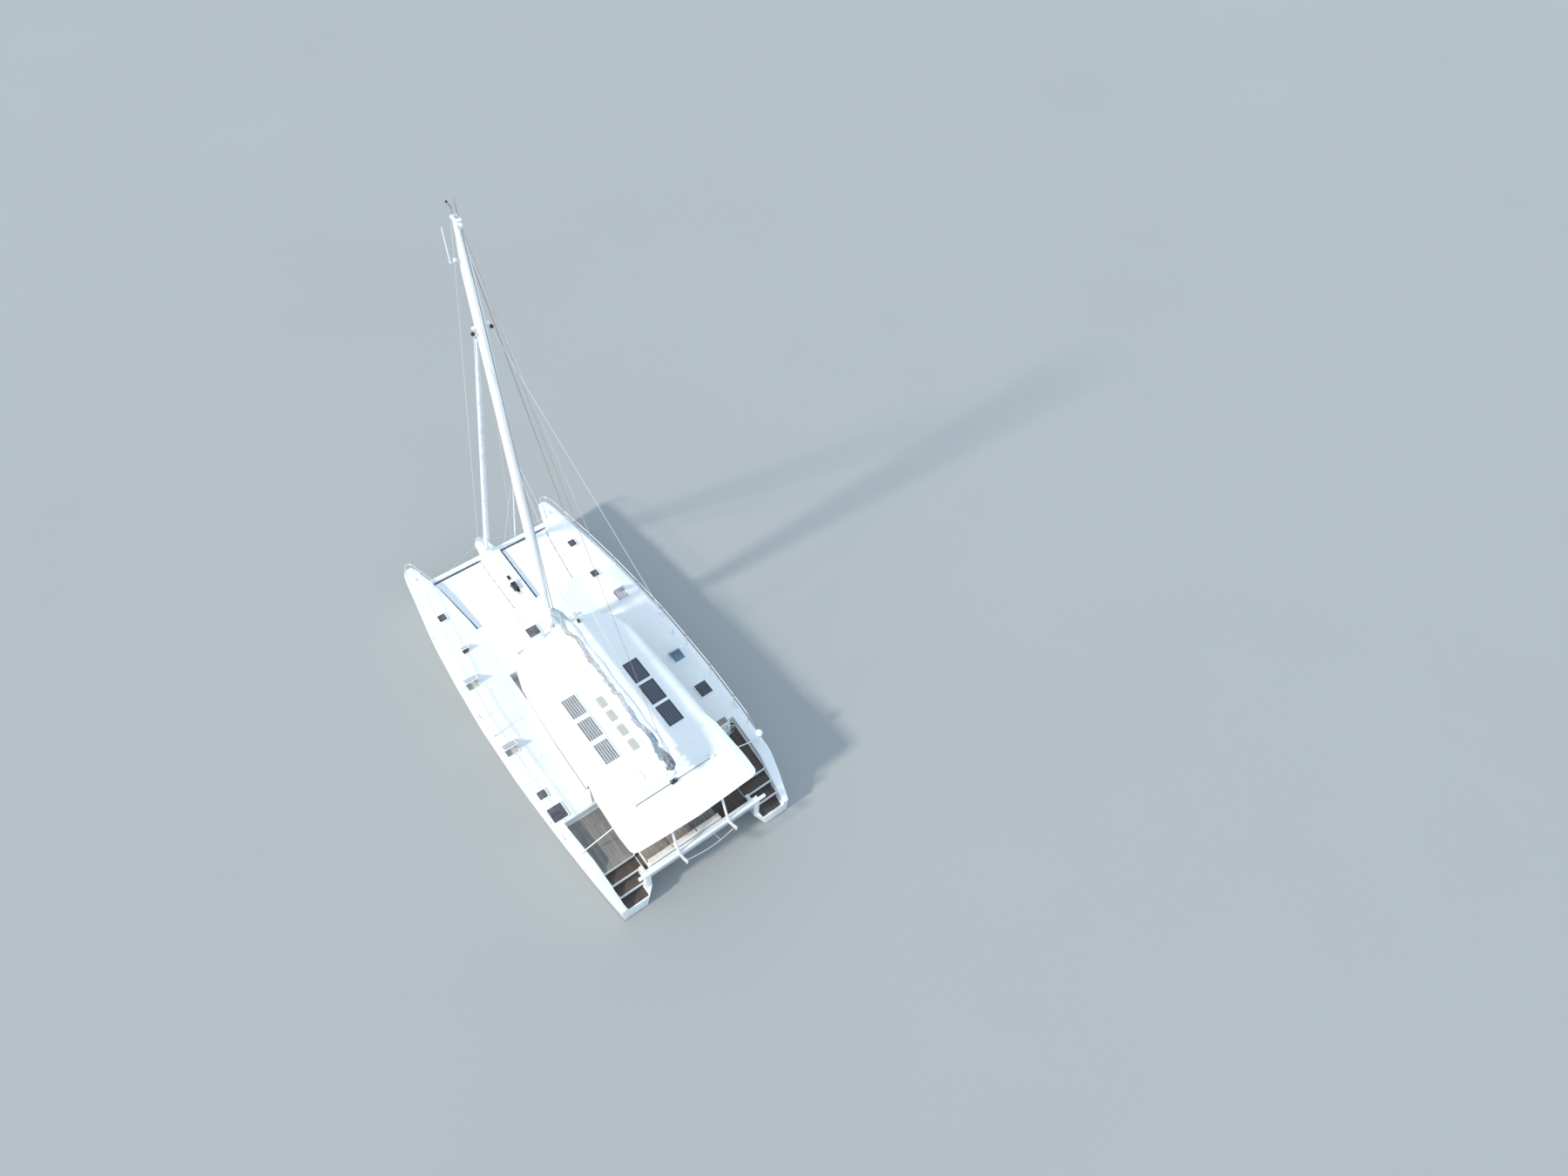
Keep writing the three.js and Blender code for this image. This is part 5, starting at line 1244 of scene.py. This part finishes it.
bench = bmesh.new()
add_slab(bench, [(-7.41, -0.95), (-7.41, 2.15), (-8.28, 2.15), (-8.28, -0.95)], 1.3655, 1.66, 0.02)
add_slab(bench, [(-8.2, -0.95), (-8.2, 2.15), (-8.28, 2.15), (-8.28, -0.95)], 1.6, 2.04, 0.02)
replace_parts(from_bmesh("cockpit_bench", bench, GLOSS), "cockpit_settee")
for i in range(3):
    y = -0.43 + 1.033 * i
    cushion(f"bench_seat_{i + 1}", (-7.71, y, 1.661), (0.58, 1.0, 0.12), 0.02)
    cushion(f"bench_back_{i + 1}", (-8.115, y, 1.67), (0.15, 1.0, 0.42), 0.015, look=CREAM, tilt=-0.05)

inside = bmesh.new()
add_slab(inside, [(0.5, 1.5), (0.5, 2.1), (-1.4, 2.1), (-1.4, 1.5)], 1.366, 1.76, 0.02)
add_slab(inside, [(0.5, 0.35), (0.5, 1.5), (-0.1, 1.5), (-0.1, 0.35)], 1.366, 1.76, 0.02)
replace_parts(from_bmesh("saloon_bench", inside, GLOSS), "saloon_settee")
# x, y, length, width
SALOON_PADS = ((-1.08, 1.8, 0.6, 0.56), (-0.47, 1.8, 0.6, 0.56), (0.18, 1.8, 0.62, 0.56),
               (0.2, 1.2, 0.56, 0.56), (0.2, 0.63, 0.56, 0.56))
for i, (x, y, length, width) in enumerate(SALOON_PADS):
    cushion(f"saloon_seat_{i + 1}", (x, y, 1.761), (length, width, 0.11))

# Float on the end of the starboard rail
fender = bmesh.new()
profile = [(0.144 * math.sin(a) + 0.002, -0.144 * math.cos(a)) for a in
           (math.pi * k / 16 for k in range(17))]
add_turned(fender, [(0.02, -0.19), (0.026, -0.15)] + profile[1:-1] + [(0.026, 0.15), (0.02, 0.17)],
           (-6.56, -3.93, 2.7), sides=28)
from_bmesh("rail_end_float", fender, GLOSS, sharp=60)

# Floor, light and camera
FLOOR = (0.345, 0.36, 0.36)
floor_look = Look("floor_pale", FLOOR, 0.9)
floor_look.colour(floor_look.mix(floor_look.patches(0.05, 0.3, 0.7), FLOOR,
                                 tuple(c * 0.97 for c in FLOOR)))
floor_mesh = bmesh.new()
bmesh.ops.create_grid(floor_mesh, x_segments=8, y_segments=8, size=120)
floor_data = bpy.data.meshes.new("floor")
floor_mesh.to_mesh(floor_data)
floor_mesh.free()
floor_data.materials.append(floor_look.material)
floor = bpy.data.objects.new("floor", floor_data)
bpy.context.scene.collection.objects.link(floor)

SUN_FROM = Vector((0.0, 0.83, 0.56))
SUN_POWER = 3.0
SUN_WIDTH = math.radians(5)
SUN_COLOUR = (1.0, 0.9, 0.78)
SKY_COLOUR = (0.68, 0.84, 1.0, 1)
SKY_POWER = 1.15
sun_data = bpy.data.lights.new("sun", "SUN")
sun_data.energy = SUN_POWER
sun_data.angle = SUN_WIDTH
sun_data.color = SUN_COLOUR
sun = bpy.data.objects.new("sun", sun_data)
sun.rotation_euler = SUN_FROM.to_track_quat("Z", "Y").to_euler()
bpy.context.scene.collection.objects.link(sun)

world = bpy.data.worlds.new("studio")
world.use_nodes = True
backdrop = world.node_tree.nodes["Background"]
backdrop.inputs["Color"].default_value = SKY_COLOUR
backdrop.inputs["Strength"].default_value = SKY_POWER
bpy.context.scene.world = world

CAMERA_AT = (-22.169, 8.631, 39.401)
RIGHT = Vector((-0.60584, -0.79458, 0.04009))
DOWN = Vector((-0.65601, 0.47041, -0.59022))
AHEAD = Vector((0.45012, -0.38388, -0.80624))
lens = bpy.data.cameras.new("camera")
lens.sensor_width = 36
lens.lens = 25
lens.clip_end = 500
camera = bpy.data.objects.new("camera", lens)
turn = Matrix((RIGHT, -DOWN, -AHEAD)).transposed()
camera.matrix_world = Matrix.Translation(CAMERA_AT) @ turn.to_4x4()
bpy.context.scene.collection.objects.link(camera)
bpy.context.scene.camera = camera
bpy.context.scene.view_settings.view_transform = "Standard"
